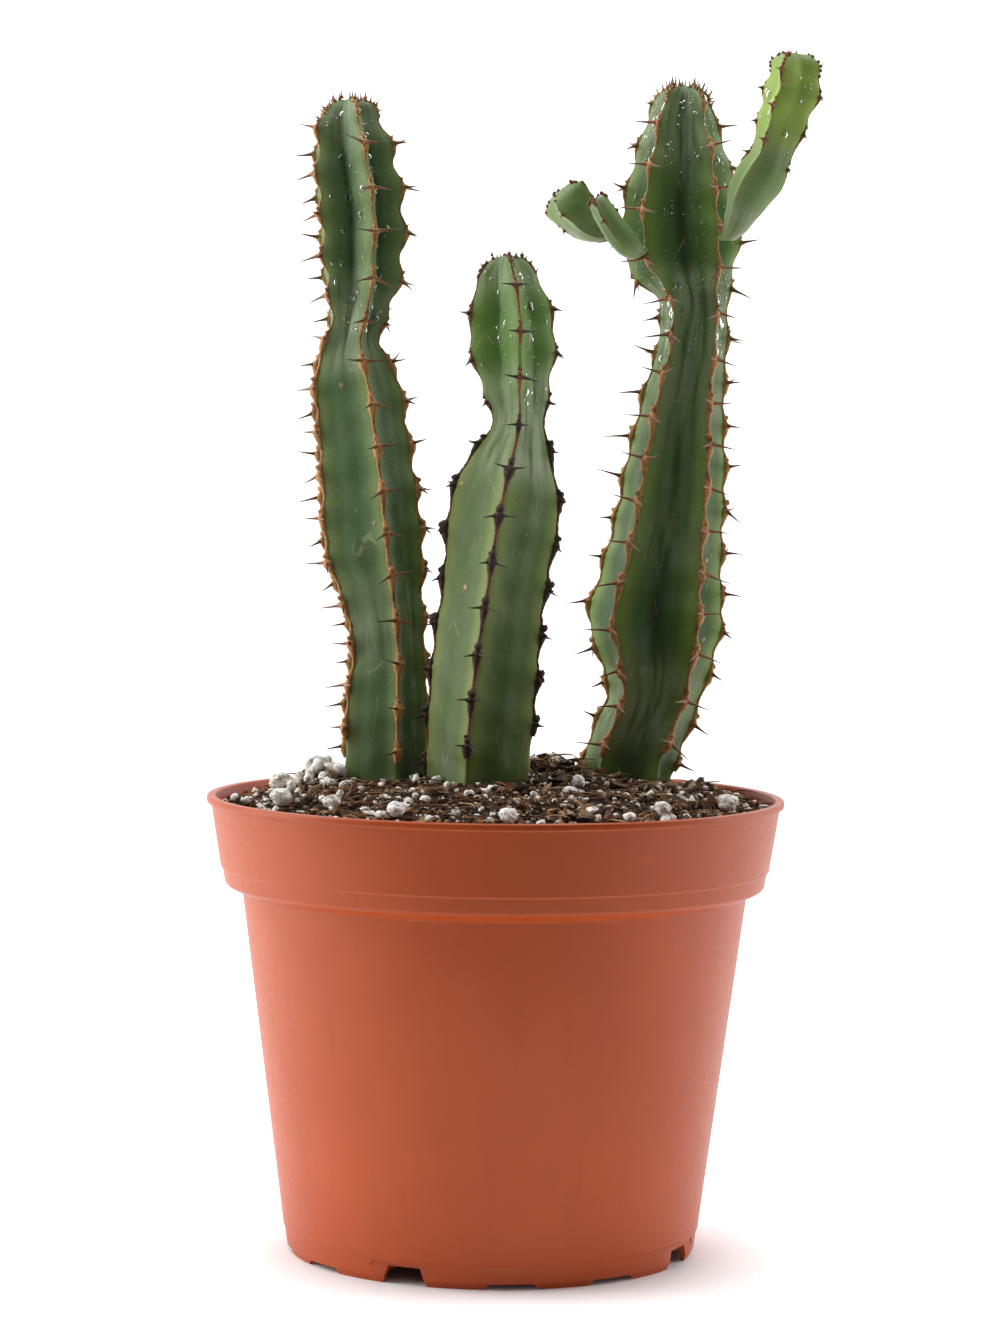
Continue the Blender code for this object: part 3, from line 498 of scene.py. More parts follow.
def make_margin(skeleton, rib, skeletons, look, slot):
    """The horny strip on a rib's crest: a shield at each areole that narrows below it, a knob above,
    and a pair of spines. Old strips are thick and run on, and young ones are a mere line."""
    shoot = skeleton.shoot
    old, branch = slot == OLD_SLOT, shoot.foot is None
    places = np.array(areoles(skeleton, rib))
    at = np.arange(places[0] - 3 * MM, skeleton.length - 0.4 * MM, STRIP_STEP)
    crest = skeleton.crest(at, rib)
    along = np.gradient(crest, axis=0)
    along /= np.linalg.norm(along, axis=1)[:, None]
    out = skeleton.outward(at, shoot.ribs[rib])
    out -= along * (out * along).sum(axis=1)[:, None]
    out /= np.linalg.norm(out, axis=1)[:, None]
    side = np.cross(along, out)
    nearest = at[:, None] - places[None, :]
    nearest = nearest[np.arange(len(at)), np.abs(nearest).argmin(axis=1)] / MM
    below, above = np.clip(-nearest, 0, None), np.clip(nearest, 0, None)
    shield = np.exp(-(below / 2.6) ** 2) * np.exp(-(above / 0.9) ** 2)
    knob = np.exp(-((nearest - 2.0) / 0.6) ** 2)
    below_growth = shoot.young * 1.1 - (crest[:, 2] - skeleton.line)
    age = 0.0 * at if branch else np.clip(below_growth / AGEING, 0, 1)
    size = np.clip(shoot.spacing / (11 * MM), 0.5, 1.0) * np.clip(skeleton.read(at)[1] / (9 * MM), 0.5, 1.0)
    rough = size * (1 + 0.18 * ripple(crest, 2.2 * MM, rib + 3)) * MM
    strip = 0.10 if branch else 0.26
    half = (strip + 0.22 * age + (0.62 + 0.34 * age) * shield + (0.35 + 0.16 * age) * knob) * rough
    rise = (strip / 2 + 0.30 * age + (0.42 + 0.24 * age) * shield + (0.25 + 0.2 * age) * knob) * rough
    verts = []
    for i in range(len(at)):
        for j in range(STRIP_SIDES):
            turn = 2 * math.pi * (j + 0.5) / STRIP_SIDES
            lift = rise[i] * max(math.sin(turn), 0) + STRIP_ROOT * min(math.sin(turn), 0)
            verts.append(crest[i] + side[i] * half[i] * math.cos(turn) + out[i] * lift)
    verts = np.array(verts)
    wear = 0.05 * MM + 0.05 * MM * np.repeat(age, STRIP_SIDES)[:, None]
    verts += wear * ripple(verts, 1.1 * MM, rib + 11)[:, None] * np.repeat(out, STRIP_SIDES, axis=0)
    faces = grid_faces(len(at), STRIP_SIDES)
    faces.append(tuple(reversed(range(STRIP_SIDES))))
    faces.append(tuple(range(len(verts) - STRIP_SIDES, len(verts))))
    heap = Heap()
    heap.put(verts, faces, 0.0, np.repeat(np.clip(0.35 * age + shield + knob, 0, 1), STRIP_SIDES))

    def station(place):
        return int(np.abs(at - place).argmin())

    for a in places:
        i = station(a)
        grown = np.clip((skeleton.length - a) / (9 * MM), 0.42, 1.0) * np.clip(size[i], 0.6, 1.0)
        bead = (0.74 + (0.90 if old else 0.26) * age[i]) * size[i] * MM * CHANCE.uniform(0.70, 1.35)
        for sign in (1, -1):
            length = shoot.spine * grown * CHANCE.uniform(0.75, 1.15)
            way = 0.9 * sign * side[i] + CHANCE.uniform(0.25, 0.75) * out[i]
            way = way + CHANCE.uniform(-0.4, 0.15) * along[i]
            root = crest[i] + out[i] * rise[i] * 0.3 + side[i] * sign * 0.3 * MM
            if crowded(root + way * length, skeleton, skeletons):
                length = 0.3 * length
            heap.thorn(root, way, CHANCE.normal(size=3) * 0.05, length, SPINE_GIRTH * grown ** 0.5)
        heap.bead(crest[i] + out[i] * rise[i] * 0.5, bead, rib + 20)
        j = station(a + KNOB_RISE)
        heap.bead(crest[j] + out[j] * rise[j] * 0.7, bead * 1.15, rib + 30)
        for _ in range(4 if old else 2):
            k = station(a + CHANCE.uniform(-0.6, 3.0) * MM)
            aside = side[k] * CHANCE.uniform(-0.9, 0.9) * half[k]
            crumb = CHANCE.uniform(0.35, 0.60) * (1 + 0.7 * old * age[k]) * size[k] * MM
            heap.bead(crest[k] + aside + out[k] * rise[k] * 0.6, crumb, rib + 60)
        for sign in (1, -1):
            way = 0.7 * sign * side[j] + 0.7 * out[j] + 0.4 * along[j]
            heap.thorn(crest[j], way, np.zeros(3), CHANCE.uniform(0.9, 2.0) * MM * grown, BRISTLE_GIRTH)
    crown = CROWN_BEADS if skeleton.length > SHORT_SHOOT else FEW_CROWN_BEADS
    for a in skeleton.length - np.array(crown) * MM:
        i = station(a)
        heap.bead(crest[i] + out[i] * 0.1 * MM, CHANCE.uniform(0.7, 1.15) * MM, rib + 40)
        for _ in range(2):
            way = CHANCE.uniform(-0.8, 0.8) * side[i] + out[i] * CHANCE.uniform(0.2, 0.9)
            way = way + np.array([0, 0, 1.0]) * CHANCE.uniform(0.1, 0.9)
            length = shoot.spine * CHANCE.uniform(0.15, 0.42)
            heap.thorn(crest[i], way, CHANCE.normal(size=3) * 0.08, length, CROWN_GIRTH)
    top = skeleton.read([skeleton.length])[0][0]
    for inward in (0.0, 0.25, 0.50):
        middle = crest[-1] + (top - crest[-1]) * inward + CHANCE.normal(size=3) * 0.4 * MM
        middle[2] += 0.4 * MM
        heap.bead(middle, CHANCE.uniform(0.7, 1.15) * MM, rib + 50)
        way = out[-1] * CHANCE.uniform(-0.5, 0.8) + np.array([0, 0, 1.0])
        heap.thorn(middle, way, np.zeros(3), shoot.spine * CHANCE.uniform(0.2, 0.4), CROWN_GIRTH)
    node = f"{shoot.name}_margin_{rib + 1}"
    belongs(heap.finish(node + "_horn", look), slot, node)


# ---------------------------------------------------------------- potting mix

def inner_wall():
    """Points up the pot's inner wall, from the floor's edge to the rim."""
    body_radius, body_z = body_top()
    lower_corner = collar_radius(COLLAR_DROP) - COLLAR_STEP - WALL
    return [
        (foot_radius() - WALL, FLOOR_UNDERSIDE + WALL),
        (BASE_RADIUS - WALL, BAND_HEIGHT + WALL),
        (body_radius - WALL, body_z + WALL / 2),
        (lower_corner - COLLAR_ROUND, POT_HEIGHT - COLLAR_DROP + WALL - LEDGE_FALL / 3),
        (lower_corner, POT_HEIGHT - COLLAR_DROP + WALL + COLLAR_ROUND),
        (collar_radius(LIP_HEIGHT) - WALL, POT_HEIGHT - LIP_HEIGHT / 4),
    ]


def mix_radius():
    heights = [z for _, z in inner_wall()]
    radii = [r for r, _ in inner_wall()]
    return float(np.interp(POT_HEIGHT - MIX_BELOW_RIM, heights, radii)) - MIX_GAP


def mound(x, y):
    """Height of the mix's even surface over a point."""
    share = np.hypot(x, y) / mix_radius()
    rise = np.interp(share, [s for s, _ in MOUND_SHAPE], [h for _, h in MOUND_SHAPE])
    return POT_HEIGHT - MIX_BELOW_RIM + MOUND_HEIGHT * rise


def ground(x, y):
    """Height of the loose surface: the mound with its heaps and lumps, lower at the wall."""
    points = np.stack([x, y, 0 * x], axis=-1)
    z = mound(x, y) - LOOSE_DROP
    for hx, hy, rise, spread in HEAPS:
        z = z + rise * MM * np.exp(-((x - hx * MM) ** 2 + (y - hy * MM) ** 2) / (spread * MM) ** 2)
    edge = np.clip((mix_radius() - np.hypot(x, y)) / CALM_EDGE, 0, 1)
    lumps = sum(height * ripple(points, size * MM, seed) for height, size, seed in GROUND_LUMPS)
    return z + lumps * MM * (0.35 + 0.65 * edge)


def make_mix(look):
    """The body of the mix: a lumpy top and plain sides down the pot's wall."""
    sectors, steps = 300, 110
    turn = 2 * math.pi * np.arange(sectors) / sectors
    rings = []
    for radius in np.linspace(0.5 * MM, mix_radius(), steps):
        x, y = radius * np.cos(turn), radius * np.sin(turn)
        rings.append(np.stack([x, y, ground(x, y)], axis=1))
    for radius, z in reversed(inner_wall()[:-1]):
        r = radius - MIX_GAP
        rings.append(np.stack([r * np.cos(turn), r * np.sin(turn), np.full(sectors, z + MIX_GAP)], axis=1))
    rings.append(rings[-1] * (0.02, 0.02, 1.0))
    verts = np.vstack(rings)
    faces = [tuple(reversed(f)) for f in grid_faces(len(rings), sectors)]
    faces.append(tuple(range(sectors)))
    faces.append(tuple(reversed(range(len(verts) - sectors, len(verts)))))
    obj = make_object("mix_body", verts, faces, look, tone=0.2 + 0.3 * ripple(verts, 5 * MM, 9))
    belongs(obj, "potting_mix", "potting_mix")


def lump_template(subdivisions):
    bm = bmesh.new()
    bmesh.ops.create_icosphere(bm, subdivisions=subdivisions, radius=0.5)
    verts = np.array([v.co for v in bm.verts])
    faces = np.array([[v.index for v in f.verts] for f in bm.faces])
    bm.free()
    return verts, faces


def random_turns(count):
    """Random rotation matrices."""
    q = CHANCE.normal(size=(count, 4))
    w, x, y, z = (q / np.linalg.norm(q, axis=1)[:, None]).T
    return np.stack([
        np.stack([1 - 2 * (y * y + z * z), 2 * (x * y - z * w), 2 * (x * z + y * w)], axis=1),
        np.stack([2 * (x * y + z * w), 1 - 2 * (x * x + z * z), 2 * (y * z - x * w)], axis=1),
        np.stack([2 * (x * z - y * w), 2 * (y * z + x * w), 1 - 2 * (x * x + y * y)], axis=1)], axis=1)


def strewn_places(count, edge_bias, feet):
    """Random x and y over the mix, outside the stems. A bias over 0.5 gathers them at the edge."""
    found = np.zeros((0, 2))
    while len(found) < count:
        r = (mix_radius() - 0.8 * MM) * CHANCE.uniform(size=count) ** (1 - edge_bias)
        turn = CHANCE.uniform(0, 2 * math.pi, count)
        spots = np.stack([r * np.cos(turn), r * np.sin(turn)], axis=1)
        clear = np.ones(count, bool)
        for x, y, radius in feet:
            clear &= np.hypot(spots[:, 0] - x, spots[:, 1] - y) > radius
        found = np.vstack([found, spots[clear]])
    return found[:count]


def strew(name, count, sizes, shape, craggy, template, look, slot, feet, edge_bias=0.5, sink=0.2, flat=True,
          clump=None):
    """Many irregular grains lying on the mix, as one piece. Sizes are in mm. A clump is an x, a y
    and a spread in mm."""
    base, faces = template
    spots = strewn_places(count, edge_bias, feet)
    if clump:
        spots = np.array(clump[:2]) * MM + CHANCE.normal(size=(count, 2)) * clump[2] * MM
    size = MM * (sizes[0] + (sizes[1] - sizes[0]) * CHANCE.uniform(size=count) ** 2.2)
    spread = np.array(shape) * CHANCE.uniform(0.7, 1.3, (count, 3))
    jitter = 1 + craggy * CHANCE.normal(size=(count, len(base), 1))
    local = base[None] * jitter * spread[:, None, :] * size[:, None, None]
    turned = np.einsum("nij,nvj->nvi", random_turns(count), local)
    if flat:
        turned[:, :, 2] *= 0.75
    height = ground(spots[:, 0], spots[:, 1]) + size * (0.5 - sink) * np.min(shape)
    middle = np.column_stack([spots, height])
    verts = (turned + middle[:, None, :]).reshape(-1, 3)
    reach = np.hypot(verts[:, 0], verts[:, 1])
    keep_in = np.minimum(1.0, (mix_radius() + MIX_GAP / 2) / np.maximum(reach, MM))
    verts[:, :2] *= keep_in[:, None]
    shifts = (np.arange(count) * len(base))[:, None, None]
    all_faces = (faces[None] + shifts).reshape(-1, 3).tolist()
    tone = np.repeat(CHANCE.uniform(size=count), len(base))
    obj = make_object(name, verts, all_faces, look, smooth=not flat, tone=tone)
    belongs(obj, slot)


# Lengths, thicknesses and lifts of the strands, in mm.
FIBRE_LENGTHS, FIBRE_GIRTHS, FIBRE_LIFT = (3, 13), (0.07, 0.26), 0.3


def make_fibres(count, look, feet):
    """Thin bent strands of coir and root, lying over the mix."""
    sides, steps = 5, 8
    spots = strewn_places(count, 0.5, feet)
    verts, faces, tone = [], [], []
    for x, y in spots:
        length = CHANCE.uniform(*FIBRE_LENGTHS) * MM
        girth = CHANCE.uniform(*FIBRE_GIRTHS) * MM
        heading = CHANCE.uniform(0, 2 * math.pi)
        bend = CHANCE.normal() * 1.1
        rise = CHANCE.uniform(-0.1, 0.55)
        start = len(verts)
        point = np.array([x, y, float(ground(np.array(x), np.array(y))) + FIBRE_LIFT * MM])
        for i in range(steps):
            ahead = np.array([math.cos(heading), math.sin(heading), rise * (1 - 1.8 * i / steps)])
            across = np.array([-math.sin(heading), math.cos(heading), 0.0])
            fat = girth * (0.35 + 0.65 * math.sin(math.pi * (i + 0.6) / steps))
            for j in range(sides):
                turn = 2 * math.pi * j / sides
                verts.append(point + fat * (math.cos(turn) * across + math.sin(turn) * np.array([0, 0, 1.0])))
            point = point + ahead * length / steps
            heading += bend / steps
        faces += [tuple(v + start for v in f) for f in grid_faces(steps, sides)]
        faces.append(tuple(start + j for j in reversed(range(sides))))
        faces.append(tuple(start + (steps - 1) * sides + j for j in range(sides)))
        tone += [CHANCE.uniform()] * (sides * steps)
    verts = np.array(verts)
    reach = np.hypot(verts[:, 0], verts[:, 1])
    verts[:, :2] *= np.minimum(1.0, mix_radius() / np.maximum(reach, MM))[:, None]
    obj = make_object("mix_fibres", verts, faces, look, tone=tone)
    belongs(obj, "potting_mix")


def make_large_grains(look):
    """A craggy lump in place of each large grain's plain solid."""
    base, faces = lump_template(4)
    for node in sorted(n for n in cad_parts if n.startswith("perlite_grain")):
        low, high = (np.array(c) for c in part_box(node))
        seed = int(node.split("_")[-1])
        lump = 1 + 0.14 * ripple(base, 0.6, seed) + 0.08 * ripple(base, 0.25, seed + 50)
        lump += 0.05 * ripple(base, 0.1, seed)
        verts = base * lump[:, None]
        verts = (verts - verts.min(axis=0)) / np.ptp(verts, axis=0) * (high - low) + low
        verts[:, 2] -= GRAIN_DROP
        obj = make_object(node + "_lump", verts, faces.tolist(), look, tone=np.full(len(verts), seed / 10))
        belongs(obj, "perlite", node)


# ---------------------------------------------------------------- pot

def collar_radius(drop):
    """Outer radius of the collar at a drop below the rim, above its small step."""
    return RIM_RADIUS - LIP_OVERHANG - COLLAR_DRAFT * (drop - LIP_HEIGHT)


def body_top():
    radius = collar_radius(COLLAR_DROP) - COLLAR_STEP - LEDGE
    return radius, POT_HEIGHT - COLLAR_DROP - LEDGE_FALL


def foot_radius():
    return BASE_RADIUS - BAND_STEP - BAND_TAPER - FOOT_SET_BACK


def rounded(corners):
    """The outline through (radius, height, rounding) corners, with each rounding as an arc."""
    steps = 5
    points = []
    for i, (r, z, rounding) in enumerate(corners):
        here = Vector((r, z))
        if not rounding or i in (0, len(corners) - 1):
            points.append((r, z))
            continue
        before = Vector(corners[i - 1][:2]) - here
        after = Vector(corners[i + 1][:2]) - here
        half = before.angle(after) / 2
        reach = min(rounding / math.tan(half), 0.48 * before.length, 0.48 * after.length)
        start, end = here + before.normalized() * reach, here + after.normalized() * reach
        for k in range(steps + 1):
            t = k / steps
            points.append(tuple((1 - t) ** 2 * start + 2 * t * (1 - t) * here + t * t * end))
    return points


def pot_outline():
    wall_top = collar_radius(LIP_HEIGHT) - WALL
    step_z = POT_HEIGHT - COLLAR_STEP_DROP
    corner_z = POT_HEIGHT - COLLAR_DROP
    corner = collar_radius(COLLAR_DROP) - COLLAR_STEP
    body_radius, body_z = body_top()
    band = BASE_RADIUS - BAND_STEP
    inner = inner_wall()
    corners = [
        (0.0, WALL, 0), (BOSS_RADIUS - WALL / 2, WALL, 0.001),
        (BOSS_RADIUS + BOSS_SLOPE - WALL / 2, FLOOR_UNDERSIDE + WALL, 0.001),
        (*inner[0], 0.002), (*inner[1], 0.001), (*inner[2], 0.0008), (*inner[3], 0.0015), (*inner[4], 0.002),
        (wall_top, POT_HEIGHT, 0.0005),
        (RIM_RADIUS, POT_HEIGHT, 0.0007), (RIM_RADIUS, POT_HEIGHT - LIP_HEIGHT, 0.0007),
        (collar_radius(LIP_HEIGHT), POT_HEIGHT - LIP_HEIGHT, 0.0003),
        (collar_radius(COLLAR_STEP_DROP), step_z, 0.0003),
        (collar_radius(COLLAR_STEP_DROP) - COLLAR_STEP, step_z - COLLAR_STEP, 0.0003),
        (corner, corner_z, 0.0016), (body_radius, body_z, 0.0006),
        (BASE_RADIUS, BAND_HEIGHT + BAND_STEP, 0.0002), (band, BAND_HEIGHT, 0.0002),
        (band - BAND_TAPER, FOOT_HEIGHT, 0.0012), (foot_radius(), FOOT_HEIGHT, 0.0002),
        (foot_radius() - BAND_STEP, 0.0, 0.0002), (foot_radius() - WALL, 0.0, 0.0002),
        (foot_radius() - WALL, FLOOR_UNDERSIDE, 0.0004), (BOSS_RADIUS + BOSS_SLOPE, FLOOR_UNDERSIDE, 0.001),
        (BOSS_RADIUS, 0.0, 0.001), (0.0, 0.0, 0),
    ]
    return rounded(corners)


def wedge(bm, azimuth, near, far, low, high, bottom_width, top_width):
    """A block that points out along an azimuth, with its own width at the bottom and the top."""
    half = {low: bottom_width / 2, high: top_width / 2}
    made = bmesh.ops.create_cube(bm, size=2.0)["verts"]
    for vert in made:
        z = high if vert.co.z > 0 else low
        vert.co = Vector((math.copysign(half[z], vert.co.x), -(far if vert.co.y < 0 else near), z))
    bmesh.ops.rotate(bm, verts=made, matrix=Matrix.Rotation(math.radians(azimuth), 3, "Z"))


def cutter_width(width, flare, height):
    """Width at a cutter's underside, for a slot in the foot that flares out to the ground."""
    return width + 2 * flare * (1 + FOOT_HEIGHT / height)


def make_pot(look):
    """The moulded shell, turned and then cut with its foot notches and drain slots."""
    bm = bmesh.new()
    points = [bm.verts.new((r, 0.0, z)) for r, z in pot_outline()]
    for a, b in zip(points, points[1:]):
        bm.edges.new((a, b))
    bmesh.ops.spin(bm, geom=bm.verts[:] + bm.edges[:], axis=(0, 0, 1), cent=(0, 0, 0),
                   angle=2 * math.pi, steps=POT_STEPS)
    bmesh.ops.remove_doubles(bm, verts=bm.verts, dist=SAME_POINT)
    bmesh.ops.dissolve_degenerate(bm, edges=bm.edges, dist=SHORTEST_EDGE)
    bmesh.ops.recalc_face_normals(bm, faces=bm.faces)
    shell = mesh_object("pot_shell", bm)
    behind_foot = foot_radius() - WALL - DRAIN_REACH
    cuts = {  # whether it is at the drain slots, and then the block's sizes
        "notches": (False, behind_foot, -FOOT_HEIGHT, FOOT_HEIGHT,
                    cutter_width(NOTCH_WIDTH, NOTCH_FLARE, FOOT_HEIGHT), NOTCH_WIDTH),
        "drains": (True, behind_foot, -FOOT_HEIGHT, DRAIN_HEIGHT,
                   cutter_width(DRAIN_WIDTH, DRAIN_FLARE, DRAIN_HEIGHT), DRAIN_WIDTH),
        "panels": (True, foot_radius(), FOOT_HEIGHT - PANEL_MARGIN, BAND_HEIGHT - PANEL_MARGIN,
                   PANEL_WIDTH + 2 * PANEL_FLARE, PANEL_WIDTH),
    }
    cutters = []
    for name, (at_drains, near, *sizes) in cuts.items():
        bm = bmesh.new()
        for i in range(NOTCHES):
            if at_drains == (i % DEEP_EVERY == 0):
                wedge(bm, FIRST_DRAIN_AZIMUTH + i * 360.0 / NOTCHES, near, 2 * BASE_RADIUS, *sizes)
        cutters.append(mesh_object(name, bm))
    for cutter in cutters:
        boolean = shell.modifiers.new("Cut", "BOOLEAN")
        boolean.operation = "DIFFERENCE"
        boolean.object = cutter
    graph = bpy.context.evaluated_depsgraph_get()
    cut = bpy.data.meshes.new_from_object(shell.evaluated_get(graph))
    shell.modifiers.clear()
    shell.data = cut
    for cutter in cutters:
        bpy.data.objects.remove(cutter)
    cut.materials.clear()
    cut.materials.append(look)
    cut.shade_smooth()
    cut.set_sharp_from_angle(angle=math.radians(SHARP_ANGLE))
    belongs(shell, "terracotta_plastic", "pot")


def mesh_object(name, bm):
    mesh = bpy.data.meshes.new(name)
    bm.to_mesh(mesh)
    bm.free()
    obj = bpy.data.objects.new(name, mesh)
    bpy.context.scene.collection.objects.link(obj)
    return obj


# ---------------------------------------------------------------- water

# Drops: the smallest radius and the most that chance adds, in mm; how far below the top they stop.
DROP_SIZE, DROP_SPREAD = 0.28, 1.25
DRY_TOP = 3 * MM


def make_droplets(skins, look):
    """Flattened beads of water left by a mister, on the newest growth."""
    base, faces = lump_template(2)
    verts, all_faces = [], []
    for obj, count in skins:
        mesh = obj.data
        points = np.array([v.co for v in mesh.vertices])
        normals = np.array([v.normal for v in mesh.vertices])
        young = np.array([v.value for v in mesh.attributes["young"].data])
        rib = np.array([v.value for v in mesh.attributes["rib"].data])
        lowered = points[:, 2] < points[:, 2].max() - DRY_TOP
        pool = np.flatnonzero((young > 0.3) & (rib < 0.85) & lowered)
        for i in CHANCE.choice(pool, count, replace=False):
            size = MM * (DROP_SIZE + DROP_SPREAD * CHANCE.uniform() ** 6)
            out = normals[i]
            down = np.array([0, 0, -1.0]) + out * out[2]
            down /= max(np.linalg.norm(down), 0.05)
            across = np.cross(out, down)
            length = size * CHANCE.uniform(1.0, 1.7)
            bead = base[:, :1] * across * size + base[:, 1:2] * down * length + base[:, 2:] * out * size * 0.8
            all_faces += (faces + len(verts) * len(base)).tolist()
            verts.append(points[i] + out * size * 0.10 + bead)
    obj = make_object("water_droplets", np.vstack(verts), all_faces, look)
    belongs(obj, "stem_skin")


# ---------------------------------------------------------------- materials

def hue(text):
    """An sRGB hex colour as linear RGBA."""
    parts = [int(text[i:i + 2], 16) / 255 for i in (1, 3, 5)]
    return (*(p / 12.92 if p <= 0.04045 else ((p + 0.055) / 1.055) ** 2.4 for p in parts), 1.0)


def plug(tree, node, sockets):
    """Gives sockets their values: a number, a vector, a hex colour or another node's output."""
    for key, value in sockets.items():
        if isinstance(value, bpy.types.NodeSocket):
            tree.links.new(value, node.inputs[key])
        else:
            node.inputs[key].default_value = hue(value) if isinstance(value, str) else value


def add(tree, kind, sockets, out=0, stops=(), **settings):
    """Adds a shader node with its settings and links, and returns one of its outputs."""
    made = tree.nodes.new("ShaderNode" + kind)
    for key, value in settings.items():
        setattr(made, key, value)
    plug(tree, made, sockets)
    for i, (place, colour) in enumerate(stops):
        ramp = made.color_ramp.elements
        stop = ramp[i] if i < 2 else ramp.new(place)
        stop.position = place
        stop.color = hue(colour)
    return made.outputs[out]


def start_material(name, constants):
    """A material whose shader has these values all over. Returns it, its node tree and the shader."""
    made = bpy.data.materials.new(name)
    made.use_nodes = True
    shader = made.node_tree.nodes["Principled BSDF"]
    plug(made.node_tree, shader, constants)
    return made, made.node_tree, shader


def per_mm(size):
    """Noise scale for features of this size in millimetres."""
    return 1 / (size * MM)


def share(tree, *masks):
    """The product of masks. A mask is a pattern with the values of it where the mask is nothing and
    where it is full, and how much full is if not 1, or else it is a plain value from 0 to 1."""
    total = None
    for mask in masks:
        if isinstance(mask, tuple):
            pattern, empty, full, *most = mask
            sockets = {"Value": pattern, "From Min": empty, "From Max": full, "To Max": (most or [1.0])[0]}
            mask = add(tree, "MapRange", sockets, interpolation_type="SMOOTHSTEP")
        total = mask if total is None else add(tree, "Math", {0: total, 1: mask}, operation="MULTIPLY")
    return total


def layered(tree, colour, *layers):
    """Lays tints over a colour, one on another. A layer is a tint and the masks for where it shows."""
    for tint, *masks in layers:
        colour = add(tree, "Mix", {0: share(tree, *masks), 6: colour, 7: tint}, 2, data_type="RGBA")
    return colour


def succulent_skin(name, hollow, flesh, flank_tone_and_highlight, bloom, roughness, tint, newness):
    """Water-filled green tissue under a waxy cuticle: satin, mottled by its pale bloom, with fine breathing
    pores and a few corky scars. Its valleys are darker, partly its own deeper green and partly painted shade
    that grows with the ribs' depth. Beside the crests it is yellower, partly its own tone and partly a
    painted highlight."""
    made, tree, shader = start_material(name, {
        "Roughness": roughness, "IOR": 1.40, "Coat Weight": 0.06, "Coat Roughness": 0.25,
        "Specular IOR Level": 0.35})
    rib, height, pinch, depth, young = (
        add(tree, "Attribute", {}, "Fac", attribute_name=label)
        for label in ("rib", "height", "pinch", "depth", "young"))
    weave = add(tree, "Attribute", {}, "Vector", attribute_name="weave")
    place = add(tree, "TexCoord", {}, "Object")
    cloud = add(tree, "TexNoise", {"Vector": place, "Scale": per_mm(16), "Detail": 3.0})
    patch = add(tree, "TexNoise", {"Vector": place, "Scale": per_mm(4.5), "Detail": 5.0, "Roughness": 0.6})
    drawn = add(tree, "Mapping", {"Vector": weave, "Scale": (1.0, 0.12, 1.0)})
    streak = add(tree, "TexNoise", {"Vector": drawn, "Scale": per_mm(2.4), "Detail": 4.0})
    pores = add(tree, "TexNoise", {"Vector": place, "Scale": per_mm(0.45), "Detail": 2.0})
    slanted = {"Vector": place, "Scale": (1.0, 1.0, 0.30), "Rotation": (0.5, 0.7, 0.0)}
    crooked = add(tree, "Mapping", slanted)
    lines = add(tree, "TexVoronoi", {"Vector": crooked, "Scale": per_mm(9.0)}, feature="DISTANCE_TO_EDGE")
    cells = add(tree, "TexVoronoi", {"Vector": place, "Scale": per_mm(8.0)})
    rare = add(tree, "SeparateColor", {0: cells.node.outputs["Color"]})
    scar = share(tree, (cells, 0.13, 0.05), (rare, 0.74, 0.78), (patch, 0.36, 0.52))
    colour = layered(
        tree, flesh,
        # painted shade in the valleys, deeper on deep ribs, over the tissue's own darker green
        (hollow, (rib, 0.50, 0.02), depth),
        # painted highlight beside the crests, over the tissue's own yellower tone
        (flank_tone_and_highlight, (rib, 0.55, 0.97, 0.80)),
        (tint, (young, 0.0, 1.0, newness)),
        (bloom, (cloud, 0.50, 0.78, 0.22)),
        (bloom, (patch, 0.55, 0.80, 0.22)),
        (hollow, (streak, 0.50, 0.80, 0.08)),
        (bloom, (pores, 0.56, 0.74, 0.26)),
        ("#3F3D26", (height, 0.030, 0.0), (cloud, 0.35, 0.6, 0.35)),  # bark near the mix
        ("#93A27C", (pinch, 0.04, 0.28), (streak, 0.30, 0.6, 0.75)),  # wrinkles at the waists
        ("#A9B088", (lines, 0.010, 0.003), (patch, 0.52, 0.60, 0.5)),  # scratches
        ("#B39A6C", scar))
    rough = add(tree, "MapRange", {"Value": patch, "To Min": roughness - 0.07, "To Max": roughness + 0.13})
    grain = add(tree, "Bump", {"Height": pores, "Strength": 0.30, "Distance": 0.06 * MM})
    dents = add(tree, "Bump", {"Height": patch, "Strength": 0.4, "Distance": 0.25 * MM, "Normal": grain})
    raised = add(tree, "Bump", {"Height": scar, "Strength": 0.8, "Distance": 0.25 * MM, "Normal": dents})
    plug(tree, shader, {"Base Color": colour, "Roughness": rough, "Normal": raised})
    return made


# A height in m that no horn reaches.
ABOVE_ALL = 9.0


